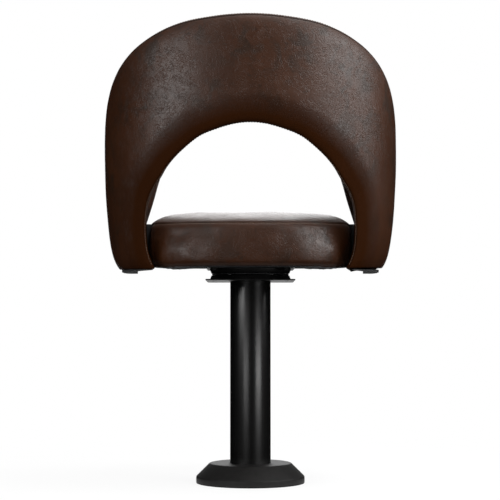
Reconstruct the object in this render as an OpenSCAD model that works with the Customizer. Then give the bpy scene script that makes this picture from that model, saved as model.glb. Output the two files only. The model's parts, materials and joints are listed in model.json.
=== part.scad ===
// Pedestal swivel armchair: a bolt-down column, a ball-bearing swivel, a crowned seat cushion
// and a padded back that wraps round into the arms, with an arched window low in the back.
// The origin is on the floor at the swivel axis, +Z is up and the sitter faces +Y.
// Azimuths are in degrees from the middle of the back (-Y), the same way on both sides.

/* [Base] */
// Radius of the base cover's rim
cover_r = 101.6; // [95:0.1:130]
// Width of the base cover's sloped face
cover_slope_w = 25.4; // [18:0.1:34]
// Height of the base cover over the floor
cover_h = 37; // [28:0.5:60]
// Height of the base cover's upright rim over the floor
rim_h = 12; // [8:0.5:20]
// Sheet thickness of the base cover
cover_t = 1.5; // [0.8:0.1:2.5]
// Thickness of the ring under the base cover's rim
seal_t = 1.5; // [1:0.1:3]
// Width of the ring under the base cover's rim
seal_w = 6; // [4:0.5:8]
// How far the floor flange's edge lies inside the cover's rim
flange_in = 13.6; // [9:0.1:20]
// Thickness of the floor flange
flange_t = 6; // [5:0.5:10]
// Distance of the anchor holes from the flange's edge
anchor_in = 23; // [14:0.5:28]
// Radius of an anchor hole
anchor_hole_r = 5.5; // [4:0.1:7]
// Number of anchor holes
anchor_count = 4; // [3:1:8]

/* [Column] */
// Radius of the column
column_r = 38.1; // [32:0.1:42]
// Wall of the column
column_wall = 2.5; // [1.5:0.1:4]
// Height of the plate's underside on top of the column
head_z = 376.8; // [340:0.1:420]
// Height of the spigot that locates the column on the flange
spigot_h = 12; // [6:0.5:20]
// Wall of the spigot
spigot_wall = 4; // [3:0.5:8]

/* [Swivel] */
// Side of the square swivel plates
plate_w = 165; // [158:0.5:180]
// Thickness of the swivel plates
plate_t = 2.3; // [2:0.1:4]
// Corner radius of the swivel plates
plate_corner_r = 8; // [3:0.5:12]
// Distance of the plate screws from the plates' edges
screw_edge = 15.8; // [12:0.1:18]
// Distance of a race's foot from the plates' edges
race_edge = 5.5; // [3.5:0.1:7]
// How far a race draws in from its foot to its rim
race_draw_in = 3.5; // [2.5:0.1:4.5]
// Width of a race's track
race_w = 23.5; // [22:0.5:26]
// Height of a race over its plate
race_h = 8.55; // [7.5:0.05:11]
// Sheet thickness of the races
race_t = 2; // [1.5:0.1:2.5]
// Height of the gap between the two races
race_gap = 3.6; // [3.2:0.1:4.5]
// Radius of a bearing ball
ball_r = 4; // [3.5:0.1:4.5]
// Distance of the balls' circle from a race's rim
ball_in = 11.5; // [10.5:0.1:12.5]
// Number of bearing balls
ball_count = 18; // [8:1:24]
// Thickness of the ball cage
cage_t = 1.6; // [1:0.1:2]
// Radius of the king pin
pin_r = 9; // [7:0.5:11]
// Radius of the king pin's head
pin_head_r = 15; // [13:0.5:18]
// Height of the king pin's head
pin_head_h = 5; // [3:0.5:8]
// Wall of the bush that turns on the king pin
bush_wall = 4; // [2.5:0.5:5]
// Length of the bush under its plate
bush_l = 10; // [6:0.5:13]
// Width of the king pin's nut across its flats
nut_flats = 27; // [24:0.5:30]
// Height of the king pin's nut
nut_h = 7.5; // [6:0.5:8]

/* [Seat] */
// Room for an arm beside the seat, from the seat's widest line to the back's
side_room = 80.8; // [79:0.1:86]
// Length of the seat from front to rear
seat_l = 432; // [420:1:460]
// Room behind the seat, from its rear edge to the back's rearmost line
rear_room = 70; // [66:0.5:76]
// Height of the seat's side from the board's underside to the top seam
seam_h = 78; // [66:0.5:95]
// Height of the cushion's crown over the top seam
crown_h = 15.5; // [12:0.5:35]
// How far the top seam lies inside the widest line
seam_draw_in = 8; // [3:0.5:10]
// Angle by which the seat rises towards the front
seat_tilt = 1.6; // [1:0.1:2.2]
// Thickness of the seat board
board_t = 15; // [14:0.5:18]
// Thickness of the leather
leather_t = 1.5; // [1:0.1:2]
// Width of the leather that is turned under the board
wrap_w = 24; // [16:1:40]
// Thickness of the cloth under the seat
cloth_t = 0.8; // [0.5:0.1:1.2]
// Thickness of the wedge at its thin end
wedge_min_t = 1.6; // [1:0.1:3]
// Width of an arm rail on the seat board
rail_w = 26; // [22:0.5:30]
// Height of an arm rail
rail_h = 28; // [24:0.5:34]
// Length of an arm rail
rail_l = 112; // [96:1:124]

/* [Back] */
// Height of the top of the back over the floor
back_top_z = 835.5; // [790:0.5:880]
// Height of the arm's front tip over the floor
arm_tip_z = 606; // [585:0.5:625]
// Height of the top of the arched window over the floor
window_top_z = 646.3; // [625:0.5:670]
// Height of the level underside of the legs' caps over the floor
leg_z = 393.1; // [388:0.1:398]
// Half the width of the back at its widest
back_half_w = 274.8; // [270:0.5:290]
// Depth of the back behind the swivel axis
back_depth = 262; // [256:0.5:280]
// Thickness of the padded back where it is fullest
back_t = 42; // [38:0.5:46]
// Thickness of the moulded wooden frame in the back
frame_t = 10; // [8:0.5:11]
// Azimuth of the arm's front tip
arm_tip_angle = 133.5; // [126:0.5:138]
// Azimuth of the window's edge at the foot of the leg
leg_rear_angle = 47; // [44:0.5:48]
// How far the back draws in over its taper, down to the legs
taper_in = 20.7; // [14:0.1:22]
// Height of that taper
taper_rise = 300; // [240:1:340]
// How far the underside of the legs rolls in
foot_roll_in = 14; // [10:0.5:15]
// Height over which that roll dies out
foot_roll_rise = 15; // [10:0.5:20]
// Width of the soft roll along the edges of the panels
edge_roll_w = 28; // [18:0.5:36]
// How far the border along the top and front edge bulges
edge_bulge = 5; // [3:0.5:7]
// How far the border along the window bulges
window_bulge = 5; // [2:0.5:6]
// Thickness of the cap under a leg at its thin rear end
cap_t = 0.8; // [0.6:0.1:2]
// Height of the top of the spacers between the seat and the arms over the floor
spacer_top_z = 481; // [460:1:486]
// Azimuth of a spacer's rear end
spacer_rear_angle = 62; // [60:0.5:66]
// Azimuth of a spacer's front end
spacer_front_angle = 101; // [98:0.5:103]

/* [Hardware] */
// Radius of the screws through the seat plate
screw_r = 4; // [3:0.5:4]
// Radius of the screws that hold the arms to the seat
arm_screw_r = 4; // [3:0.5:5]
// Distance between the two screws of an arm
arm_screw_pitch = 60; // [50:1:66]
// Radius of the screws that hold the rails on the board
rail_screw_r = 2.2; // [1.5:0.1:3]

/* [Hidden] */

// Roundness of turned pieces and small bores
turn_fn = 96;
bore_fn = 32;
// Clearances: between layers that lie on each other, a running fit, a bolt in its hole
layer_gap = 0.3;
run_gap = 0.06;
bolt_gap = 0.5;
// Clearance of a cut past the faces that it goes through
overrun = 1;
// Gap that keeps the arm's padding off the side of the seat and off the spacers
contact_gap = 2.5;

// Widths of the base, from the cover's rim inwards
cover_top_r = cover_r - cover_slope_w;
flange_r = cover_r - flange_in;
anchor_pcd = 2 * (flange_r - anchor_in);

// Widths of the swivel, from the plates' edges inwards
screw_pitch = plate_w - 2 * screw_edge;
race_foot_r = plate_w / 2 - race_edge;
race_rim_r = race_foot_r - race_draw_in;
race_inner_r = race_rim_r - race_w;
ball_circle_r = race_rim_r - ball_in;

// Heights of the swivel, from the column upwards
head_top_z = head_z + plate_t;
race_mid_z = head_top_z + race_h + race_gap / 2;
seat_plate_z = race_mid_z + race_gap / 2 + race_h;
seat_plate_top_z = seat_plate_z + plate_t;
washer_t = 2;
washer_r = 18;
pin_end = 2;
nut_z = seat_plate_top_z + layer_gap + washer_t;
pin_top_z = nut_z + nut_h + pin_end;
bush_flange_w = 4;
bush_flange_t = 2;
pin_bore_r = 24;

// Races: the ball's groove, and the cage between them
groove_gap = 0.2;
groove_r = ball_r + groove_gap;
cage_rim_gap = 1;
cage_rim_r = race_rim_r - cage_rim_gap;
cage_inner_w = 9;
cage_inner_r = ball_circle_r - cage_inner_w;

// Hexagon heads: height, and radius over the corners, as shares of the screw's radius
head_h_share = 1.3;
head_r_share = 1.85;

// Threaded inserts in the board
tnut_wall = 1.3;
tnut_flange_r = 10;
tnut_flange_t = 1.5;
tnut_r = screw_r + bolt_gap + tnut_wall;
tnut_depth = 11;

// The seat in its own frame: board's underside at z = 0, risen towards the front by the tilt
seat_half_w = back_half_w - side_room;
seat_rear = back_depth - rear_room;
seat_mid_y = seat_l / 2 - seat_rear;
seat_half_l = seat_l / 2;
seat_exponent = 3.2;
board_z = seat_plate_top_z + wedge_min_t + plate_w / 2 * tan(seat_tilt);
board_inset = 7;
seat_sides = 48;
corner_rise = 2;
seat_skin = leather_t + layer_gap;

// Side of the seat, upwards: how far in as shares of the draw-in, and heights as shares
// of the side's height
side_in_shares = [0.45, 0.12, 0, 0.12, 0.4, 0.8, 1];
side_rise_shares = [0.03, 0.1, 0.28, 0.5, 0.7, 0.88, 1];
side_table = [for (k = [0 : len(side_in_shares) - 1]) [side_rise_shares[k], side_in_shares[k]]];
spacer_rise_shares = [0, 0.12, 0.3, 0.5, 0.7, 0.88, 1];
spacer_steps = 12;
// Clearance between a spacer and the seat's side, whose facets turn at other places
spacer_gap = 0.9;
// Rings of the seat's top, as shares of the way out from its middle
top_ring_shares = [1, 0.985, 0.955, 0.9, 0.78, 0.52, 0.26];
// Crown: the share that falls off over the whole top, and the power of the soft shoulder
crown_fall_share = 0.12;
shoulder_power = 14;
// Round corner under the side of the seat
under_roll = 6;

// Rails on the board and the screws through them into the back's frame
rail_edge = 15;
rail_x = seat_half_w - rail_edge - rail_w;
rail_mid_y = -6;
arm_screw_rise = 10;
arm_screw_z = board_z + board_t + arm_screw_rise;
arm_screw_bite = 7;
arm_screw_head_h = arm_screw_r * head_h_share;
arm_screw_head_r = arm_screw_r * head_r_share;
rail_screw_pitch = 40;
rail_screw_rise = 20;
rail_screw_head_r = rail_screw_r * 2;

// The back: its plan is a superellipse that draws in towards the legs
plan_exponent = 2.2;
skin_t = leather_t + 2 * layer_gap;
// Clearance between a border and the edges that it covers
border_gap = 0.6;
top_edge_z = back_top_z - edge_bulge - border_gap;
window_edge_z = window_top_z + window_bulge + border_gap;
// Thickness of a leg at its foot, and how far its cap stays inside the leather there
foot_t = 27;
cap_inset = 4;
// Half the number of steps along the back, from the middle of its top to a leg's foot
half_steps = 22;
// How much thinner the padding is at an edge: through the roll and through the crown
roll_drop_share = 0.3;
crown_drop_share = 0.15;
// Columns of the roll and of the field between the rolls
roll_shares = [0, 0.3];
field_shares = [0, 0.25, 0.5, 0.75, 1];
// Border's section, as shares of the way through the back
border_shares = [0, 0.15, 0.5, 0.85, 1];

// Edges of the back, from a leg's foot to the middle of the top. Each row holds the outer
// edge's azimuth as a share of the arm tip's, its rise (0 the foot, 1 the arm's tip, 2 the
// top), the window edge's azimuth as a share of the leg's, and its rise as a share of the
// window's height.
edge_shares = [
    [0.779, 0, 1, 0],
    [0.843, 0.248, 1.013, 0.116],
    [0.912, 0.518, 1.008, 0.215],
    [0.971, 0.801, 0.993, 0.312],
    [1, 1, 0.974, 0.391],
    [0.944, 1.096, 0.949, 0.454],
    [0.816, 1.137, 0.91, 0.517],
    [0.704, 1.205, 0.853, 0.579],
    [0.629, 1.325, 0.793, 0.637],
    [0.554, 1.48, 0.722, 0.714],
    [0.462, 1.657, 0.603, 0.808],
    [0.349, 1.818, 0.438, 0.908],
    [0.225, 1.935, 0.27, 0.961],
    [0.105, 1.984, 0.128, 0.991],
    [0, 2, 0, 1]];
last_row = len(edge_shares) - 1;

function unit(v) = v / norm(v);
function flip(row) = [-row[0], row[1], -row[2], row[3]];
// Rows past the ends: mirrored past the middle of the top, straight on past the foot
function edge_row(k) = k < 0 ? 2 * edge_shares[0] - edge_shares[1]
    : k > last_row ? flip(edge_shares[2 * last_row - k]) : edge_shares[k];
// Smooth curve through the rows
function smooth_row(p, k, t) = 0.5 * (2 * edge_row(k)
    + t * (edge_row(k + 1) - edge_row(k - 1))
    + t * t * (2 * edge_row(k - 1) - 5 * edge_row(k) + 4 * edge_row(k + 1) - edge_row(k + 2))
    + t * t * t * (3 * edge_row(k) - edge_row(k - 1) - 3 * edge_row(k + 1) + edge_row(k + 2)));
function row_at(p) = let (k = min(floor(p), last_row)) smooth_row(p, k, p - k);

// The legs end on a plane that rises towards the front as the seat does
foot_r = back_half_w - taper_in - foot_roll_in;
foot_rear_z = leg_z + cap_t + layer_gap;
function foot_z(a) = foot_rear_z
    + foot_r * (cos(leg_rear_angle) - cos(a)) * tan(seat_tilt);
foot_front_z = foot_z(edge_shares[0][0] * arm_tip_angle);
function outer_z(s) = s <= 1 ? foot_front_z + s * (arm_tip_z - foot_front_z)
    : arm_tip_z + (s - 1) * (top_edge_z - arm_tip_z);
function window_z(s) = foot_rear_z + s * (window_edge_z - foot_rear_z);
// Both edges at a place along the back: [outer azimuth, outer z, window azimuth, window z]
function edges_at(p) = let (r = row_at(p))
    [r[0] * arm_tip_angle, outer_z(r[1]), r[2] * leg_rear_angle, window_z(r[3])];

// Plan radius of the back's outer face, and of the seat's side, at an azimuth
function plan_r(a, w, d) = pow(pow(abs(sin(a)) / w, plan_exponent)
    + pow(abs(cos(a)) / d, plan_exponent), -1 / plan_exponent);
function draw_in(z) = let (d = max(z - leg_z, 0)) foot_roll_in * exp(-d / foot_roll_rise)
    + taper_in * pow(max(1 - d / taper_rise, 0), 3);
function face_r(a, z) = plan_r(a, back_half_w - draw_in(z), back_depth - draw_in(z));
function seat_fill(a, r, in) = pow(abs(r * sin(a)) / (seat_half_w - in), seat_exponent)
    + pow(abs(r * cos(a) + seat_mid_y) / (seat_half_l - in), seat_exponent);
// Radius of the seat's outline, drawn in by a length, found by halving an interval
function seat_edge_r(a, in, low = 0, high = seat_l, n = 14) = n == 0 ? high
    : let (mid = (low + high) / 2) seat_fill(a, mid, in) > 1
    ? seat_edge_r(a, in, low, mid, n - 1) : seat_edge_r(a, in, mid, high, n - 1);
// Inner face of the back, kept off the seat and the spacers
function lining_r(a, z) = max(face_r(a, z) - back_t, seat_edge_r(a, 0) + contact_gap,
    face_r(a, leg_z) - foot_t);

// Distances along the surface, used to lay out the columns
function arc_of(e, i) = e[i] * PI / 180 * back_half_w;
function edge_place(e, i) = [arc_of(e, i), e[i + 1]];
// How square a row meets an edge: 1 square on, and less where the row runs in aslant
function lean(p, i) = let (e = edges_at(p), step = 0.8,
    t = edge_place(edges_at(p + step), i) - edge_place(edges_at(p - step), i),
    d = edge_place(e, 2) - edge_place(e, 0))
    max(abs(cross(t, d)) / norm(t) / norm(d), 0.5);
function row_l(p) = let (e = edges_at(p)) norm(edge_place(e, 2) - edge_place(e, 0));
// Columns across the back at a place along it: [share of the way, roll's fullness]
function columns(p) = let (l = row_l(p), a = edge_roll_w / l / lean(p, 0),
    b = edge_roll_w / l / lean(p, 2))
    concat([for (s = roll_shares) [s * a, s]],
        [for (s = field_shares) [a + s * (1 - a - b), 1]],
        [for (k = [len(roll_shares) - 1 : -1 : 0]) [1 - roll_shares[k] * b, roll_shares[k]]]);
column_count = 2 * len(roll_shares) + len(field_shares);

// Thickness of the padding on one face, from the whole thickness there
function pad_t(whole, v, roll) = (whole - frame_t) / 2 - skin_t
    - ((whole - frame_t) / 2 - skin_t) * (roll_drop_share * (1 - sqrt(1 - pow(1 - roll, 2)))
    + crown_drop_share * pow(2 * v - 1, 2));
// A layer's place: its distance from the frame's middle, as [fixed length, share of padding]
function layer_r(a, z, v, roll, layer) = let (out_r = face_r(a, z), in_r = lining_r(a, z),
    s = layer[0] + (layer[0] < 0 ? -1 : 1) * layer[1] * pad_t(out_r - in_r, v, roll))
    (out_r + in_r) / 2 + s;
panel_face = frame_t / 2 + skin_t;
// The window is cut straight through the back along Y, so deeper layers turn further round
function turn_on(e, layer) = let (a = e[2],
    x = layer_r(a, e[3], 1, 0, [panel_face, 1]) * sin(a),
    r = layer_r(a, e[3], 1, 0, layer))
    asin(min(x / r, 0.98)) - a;
function shell_point(p, side, c, layer) = let (e = edges_at(p), v = c[0],
    a = e[0] + v * (e[2] - e[0]) + v * v * turn_on(e, layer), z = e[1] + v * (e[3] - e[1]),
    r = layer_r(a, z, v, c[1], layer)) [side * r * sin(a), -r * cos(a), z];
// Places along the whole back, from the left leg's foot over the top to the right one's
function places() = [for (i = [-half_steps : half_steps])
    [last_row * (1 - abs(i) / half_steps), i < 0 ? -1 : 1]];
function layer_grid(layer) = [for (q = places())
    [for (c = columns(q[0])) shell_point(q[0], q[1], c, layer)]];

// A closed solid between two grids of equal size; the first lies outside
module slab(outer, inner) {
    rows = len(outer);
    cols = len(outer[0]);
    half = rows * cols;
    points = concat([for (row = outer) each row], [for (row = inner) each row]);
    function at(i, j) = i * cols + j;
    face_out = [for (i = [0 : rows - 2], j = [0 : cols - 2])
        each [[at(i, j), at(i + 1, j + 1), at(i, j + 1)],
            [at(i, j), at(i + 1, j), at(i + 1, j + 1)]]];
    face_in = [for (f = face_out) [f[2] + half, f[1] + half, f[0] + half]];
    ends = [for (j = [0 : cols - 2], i = [0, rows - 1])
        let (q = [at(i, j), at(i, j + 1), at(i, j + 1) + half, at(i, j) + half])
        each i == 0 ? [[q[0], q[2], q[3]], [q[0], q[1], q[2]]]
            : [[q[0], q[2], q[1]], [q[0], q[3], q[2]]]];
    sides = [for (i = [0 : rows - 2], j = [0, cols - 1])
        let (q = [at(i, j), at(i + 1, j), at(i + 1, j) + half, at(i, j) + half])
        each j == 0 ? [[q[0], q[2], q[1]], [q[0], q[3], q[2]]]
            : [[q[0], q[2], q[3]], [q[0], q[1], q[2]]]];
    polyhedron(points, concat(face_out, face_in, ends, sides));
}

// A closed solid through a list of sections with equally many points. Its ends are fans
// from the section's given point.
module sweep(sections, apex) {
    n = len(sections[0]);
    last = len(sections) - 1;
    points = [for (s = sections) each s];
    walls = [for (i = [0 : last - 1], k = [0 : n - 1])
        let (a = i * n + k, b = i * n + (k + 1) % n)
        each [[a, b + n, b], [a, a + n, b + n]]];
    ends = [for (j = [1 : n - 2]) let (b = (apex + j) % n, c = (apex + j + 1) % n, d = last * n)
        each [[apex, b, c], [apex + d, c + d, b + d]]];
    polyhedron(points, concat(walls, ends));
}

// A ring of closed profiles round the seat, joined end to end
module ring(profiles) {
    n = len(profiles[0]);
    m = len(profiles);
    polyhedron([for (s = profiles) each s], [for (i = [0 : m - 1], k = [0 : n - 1])
        let (a = i * n + k, b = i * n + (k + 1) % n, c = ((i + 1) % m) * n)
        each [[a, c + (k + 1) % n, c + k], [a, b, c + (k + 1) % n]]]);
}

module in_seat_frame() {
    translate([0, 0, board_z]) rotate([seat_tilt, 0, 0]) children();
}

// Outline of the seat, drawn in by a length
function bend(c) = sign(c) * pow(abs(c), 2 / seat_exponent);
function seat_xy(t, in, s = 1) = [s * (seat_half_w - in) * bend(cos(t)),
    seat_mid_y + s * (seat_half_l - in) * bend(sin(t))];
function seat_turns() = [for (i = [0 : seat_sides - 1]) i * 360 / seat_sides];
function seat_outline(in) = [for (t = seat_turns()) seat_xy(t, in)];
function rise(t, s) = corner_rise * pow(sin(2 * t), 2) * s * s;
// A point on the seat's side and one on its top, each a given depth under the leather's face
function side_point(t, k, depth) = concat(seat_xy(t, seam_draw_in * side_in_shares[k] + depth),
    seam_h * side_rise_shares[k] + rise(t, side_rise_shares[k]));
function top_z(t, s, depth) = seam_h + rise(t, s) - depth + crown_h
    * (1 - crown_fall_share * s * s - (1 - crown_fall_share) * pow(s, shoulder_power));
function top_point(t, s, depth) = concat(seat_xy(t, seam_draw_in + depth, s), top_z(t, s, depth));

// Places of the four plate screws and of the screws through the arm rails
module at_plate_screws() {
    for (x = [-1, 1], y = [-1, 1]) translate([x, y, 0] * screw_pitch / 2) children();
}
function arm_screw_y(i) = rail_mid_y + i * arm_screw_pitch / 2;
// Where the frame of the back lies beside a rail, measured across the seat
function frame_x(y) = let (r = layer_r(90, arm_screw_z, 0.5, 1, [-frame_t / 2, 0]))
    sqrt(r * r - y * y);
module at_arm_screws() {
    for (side = [-1, 1], i = [-1, 1])
        translate([side * rail_x, arm_screw_y(i), arm_screw_z])
            rotate([0, side * 90, 0]) children();
}
function arm_screw_l(i) = frame_x(arm_screw_y(i)) + arm_screw_bite - rail_x;
module arm_screw_holes(gap) {
    at_arm_screws() cylinder(r = arm_screw_r + gap, h = frame_x(0) - rail_x + arm_screw_bite
        + gap, $fn = bore_fn);
}
module hex_head(r, h) {
    cylinder(r = r, h = h, $fn = 6);
}

module floor_flange() {
    spigot_r = column_r - column_wall - run_gap;
    color("#262525") difference() {
        union() {
            cylinder(r = flange_r, h = flange_t, $fn = turn_fn);
            cylinder(r = spigot_r, h = flange_t + spigot_h, $fn = turn_fn);
        }
        translate([0, 0, -overrun]) cylinder(r = spigot_r - spigot_wall,
            h = flange_t + spigot_h + 2 * overrun, $fn = turn_fn);
        for (i = [0 : anchor_count - 1]) rotate(45 + i * 360 / anchor_count)
            translate([anchor_pcd / 2, 0, -overrun])
                cylinder(r = anchor_hole_r, h = flange_t + 2 * overrun, $fn = bore_fn);
    }
}

module base_seal() {
    color("#141414") difference() {
        cylinder(r = cover_r - layer_gap, h = seal_t, $fn = turn_fn);
        translate([0, 0, -overrun]) cylinder(r = cover_r - seal_w, h = seal_t + 2 * overrun,
            $fn = turn_fn);
    }
}

module base_cover() {
    slope = atan2(cover_h - rim_h, cover_r - cover_top_r);
    hole_r = column_r + layer_gap;
    rim_in = cover_t * tan((90 - slope) / 2);
    top_in = cover_t * tan(slope / 2);
    color("#2b2a2a") rotate_extrude($fn = turn_fn) polygon([
        [cover_r, seal_t], [cover_r, rim_h], [cover_top_r, cover_h], [hole_r, cover_h],
        [hole_r, cover_h - cover_t], [cover_top_r - top_in, cover_h - cover_t],
        [cover_r - cover_t, rim_h - rim_in], [cover_r - cover_t, seal_t]]);
}

module column_tube() {
    color("#1d1c1c") translate([0, 0, flange_t]) difference() {
        cylinder(r = column_r, h = head_z - flange_t, $fn = turn_fn);
        translate([0, 0, -overrun]) cylinder(r = column_r - column_wall,
            h = head_z - flange_t + 2 * overrun, $fn = turn_fn);
    }
}

module swivel_plate(bore) {
    difference() {
        linear_extrude(plate_t) {
            square([plate_w - 2 * plate_corner_r, plate_w], center = true);
            square([plate_w, plate_w - 2 * plate_corner_r], center = true);
            for (x = [-1, 1], y = [-1, 1])
                translate([x, y] * (plate_w / 2 - plate_corner_r))
                    circle(r = plate_corner_r, $fn = bore_fn);
        }
        translate([0, 0, -overrun]) cylinder(r = bore, h = plate_t + 2 * overrun, $fn = turn_fn);
        at_plate_screws() translate([0, 0, -overrun])
            cylinder(r = screw_r + bolt_gap, h = plate_t + 2 * overrun, $fn = bore_fn);
    }
}

module column_head() {
    color("#1d1c1c") translate([0, 0, head_z]) swivel_plate(pin_r + run_gap);
}

// A pressed ring with a hat section and a groove for the balls, its foot on z = 0
module race() {
    foot_in_r = race_inner_r - (race_foot_r - race_rim_r);
    ball_z = race_h + race_gap / 2;
    rotate_extrude($fn = turn_fn) difference() {
        union() {
            polygon([[race_foot_r, 0], [race_rim_r, race_h], [race_inner_r, race_h],
                [foot_in_r, 0], [foot_in_r + race_t, 0], [race_inner_r + race_t, race_h - race_t],
                [race_rim_r - race_t, race_h - race_t], [race_foot_r - race_t, 0]]);
            intersection() {
                translate([ball_circle_r, ball_z]) circle(r = groove_r + race_t, $fn = turn_fn);
                translate([race_inner_r, 0]) square([race_rim_r - race_inner_r, race_h]);
            }
        }
        translate([ball_circle_r, ball_z]) circle(r = groove_r, $fn = turn_fn);
    }
}

module lower_race() {
    color("#1d1c1c") translate([0, 0, head_top_z]) race();
}

module upper_race() {
    color("#1d1c1c") translate([0, 0, seat_plate_z]) mirror([0, 0, 1]) race();
}

module king_pin() {
    color("#8f9194") union() {
        translate([0, 0, head_z - pin_head_h])
            cylinder(r = pin_head_r, h = pin_head_h, $fn = turn_fn);
        translate([0, 0, head_z]) cylinder(r = pin_r, h = pin_top_z - head_z, $fn = turn_fn);
    }
}

module pin_washer() {
    color("#8f9194") translate([0, 0, seat_plate_top_z + layer_gap]) difference() {
        cylinder(r = washer_r, h = washer_t, $fn = turn_fn);
        translate([0, 0, -overrun]) cylinder(r = pin_r + run_gap, h = washer_t + 2 * overrun,
            $fn = turn_fn);
    }
}

module pin_nut() {
    color("#8f9194") translate([0, 0, nut_z]) difference() {
        hex_head(nut_flats / 2 / cos(30), nut_h);
        translate([0, 0, -overrun]) cylinder(r = pin_r + run_gap, h = nut_h + 2 * overrun,
            $fn = turn_fn);
    }
}

module at_balls() {
    for (i = [0 : ball_count - 1]) rotate(i * 360 / ball_count)
        translate([ball_circle_r, 0, race_mid_z]) children();
}

module bearing_balls() {
    color("#b8babd") at_balls() sphere(r = ball_r, $fn = bore_fn);
}

module ball_cage() {
    color("#2a2a2c") difference() {
        translate([0, 0, race_mid_z - cage_t / 2]) cylinder(r = cage_rim_r, h = cage_t,
            $fn = turn_fn);
        translate([0, 0, race_mid_z - cage_t]) cylinder(r = cage_inner_r, h = 2 * cage_t,
            $fn = turn_fn);
        at_balls() cylinder(r = groove_r, h = 2 * cage_t, center = true, $fn = bore_fn);
    }
}

module seat_plate() {
    color("#1d1c1c") translate([0, 0, seat_plate_z])
        swivel_plate(pin_r + run_gap + bush_wall + run_gap);
}

module pin_bush() {
    bush_r = pin_r + run_gap + bush_wall;
    color("#a9834a") difference() {
        union() {
            translate([0, 0, seat_plate_z - bush_l])
                cylinder(r = bush_r, h = bush_l + plate_t, $fn = turn_fn);
            translate([0, 0, seat_plate_z - bush_flange_t])
                cylinder(r = bush_r + bush_flange_w, h = bush_flange_t, $fn = turn_fn);
        }
        translate([0, 0, seat_plate_z - bush_l - overrun])
            cylinder(r = pin_r + run_gap, h = bush_l + plate_t + 2 * overrun, $fn = turn_fn);
    }
}

module tilt_wedge() {
    color("#3a3836") difference() {
        translate([-plate_w / 2, -plate_w / 2, seat_plate_top_z])
            cube([plate_w, plate_w, board_t]);
        in_seat_frame() translate([-plate_w, -plate_w, 0])
            cube([2 * plate_w, 2 * plate_w, 2 * board_t]);
        translate([0, 0, seat_plate_z]) cylinder(r = pin_bore_r, h = board_t + plate_t,
            $fn = turn_fn);
        at_plate_screws() translate([0, 0, seat_plate_z])
            cylinder(r = screw_r + bolt_gap, h = board_t + plate_t, $fn = bore_fn);
    }
}

// Height of the board's top over the floor at a place along the seat
function board_top_z(y) = board_z + board_t / cos(seat_tilt) + y * tan(seat_tilt);

module plate_screws() {
    head_h = screw_r * head_h_share;
    color("#151515") for (x = [-1, 1], y = [-1, 1])
        translate([x * screw_pitch / 2, y * screw_pitch / 2, seat_plate_z]) union() {
            translate([0, 0, -head_h]) hex_head(screw_r * head_r_share, head_h);
            cylinder(r = screw_r, h = board_top_z(y * screw_pitch / 2) - seat_plate_z,
                $fn = bore_fn);
        }
}

module board_tnuts() {
    lift = tnut_flange_r * tan(seat_tilt) + layer_gap;
    color("#9a9c9f") for (x = [-1, 1], y = [-1, 1])
        translate([x * screw_pitch / 2, y * screw_pitch / 2,
            board_top_z(y * screw_pitch / 2) + lift]) difference() {
            union() {
                cylinder(r = tnut_flange_r, h = tnut_flange_t, $fn = bore_fn);
                translate([0, 0, -tnut_depth]) cylinder(r = tnut_r, h = tnut_depth,
                    $fn = bore_fn);
            }
            translate([0, 0, -tnut_depth - overrun]) cylinder(r = screw_r + run_gap,
                h = tnut_depth + tnut_flange_t + 2 * overrun, $fn = bore_fn);
        }
}

module seat_board() {
    color("#b08d5f") difference() {
        in_seat_frame() linear_extrude(board_t) polygon(seat_outline(board_inset));
        translate([0, 0, seat_plate_z]) cylinder(r = pin_bore_r, h = 3 * board_t,
            $fn = turn_fn);
        at_plate_screws() translate([0, 0, seat_plate_z])
            cylinder(r = tnut_r + run_gap, h = 3 * board_t, $fn = bore_fn);
        in_seat_frame() at_rail_screws() rail_screw_hole();
    }
}

module at_rail_screws() {
    for (side = [-1, 1], i = [-1, 0, 1])
        translate([side * (rail_x + rail_w / 2), rail_mid_y + i * rail_screw_pitch, 0])
            children();
}

// A countersunk wood screw, from the board's underside up into a rail
module rail_screw(gap = 0) {
    head_h = rail_screw_head_r - rail_screw_r;
    cylinder(r1 = rail_screw_head_r + gap, r2 = rail_screw_r + gap, h = head_h, $fn = bore_fn);
    cylinder(r = rail_screw_r + gap, h = board_t + rail_screw_rise + gap, $fn = bore_fn);
}
// Room for the screw, open past the board's underside
module rail_screw_hole() {
    rail_screw(layer_gap);
    translate([0, 0, -overrun]) cylinder(r = rail_screw_head_r + layer_gap, h = overrun,
        $fn = bore_fn);
}

module rail_screws() {
    color("#a8843c") in_seat_frame() at_rail_screws() rail_screw();
}

module arm_rail(side) {
    difference() {
        in_seat_frame() translate([side > 0 ? rail_x : -rail_x - rail_w,
            rail_mid_y - rail_l / 2, board_t]) cube([rail_w, rail_l, rail_h]);
        arm_screw_holes(layer_gap);
        in_seat_frame() at_rail_screws() rail_screw_hole();
    }
}

module arm_rail_left() {
    color("#b8935f") arm_rail(-1);
}

module arm_rail_right() {
    color("#b8935f") arm_rail(1);
}

// A black block between the seat and an arm, shaped to both
module arm_spacer(side) {
    angles = [for (i = [0 : spacer_steps])
        spacer_rear_angle + i / spacer_steps * (spacer_front_angle - spacer_rear_angle)];
    // Heights over the board's underside, as shares of the side's height
    function local_z(s) = s * (spacer_top_z - board_z);
    function in_at(s) = seam_draw_in * lookup(local_z(s) / seam_h, side_table);
    function place(a, r, s) = [side * r * sin(a), -r * cos(a),
        board_z + local_z(s) - r * cos(a) * tan(seat_tilt)];
    near = [for (a = angles) [for (s = spacer_rise_shares)
        place(a, lining_r(a, board_z) - contact_gap, s)]];
    far = [for (a = angles) [for (s = spacer_rise_shares)
        place(a, seat_edge_r(a, in_at(s)) + spacer_gap, s)]];
    difference() {
        if (side > 0) slab(far, near);
        else slab(near, far);
        arm_screw_holes(layer_gap);
    }
}

module arm_spacer_left() {
    color("#161616") arm_spacer(-1);
}

module arm_spacer_right() {
    color("#161616") arm_spacer(1);
}

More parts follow.
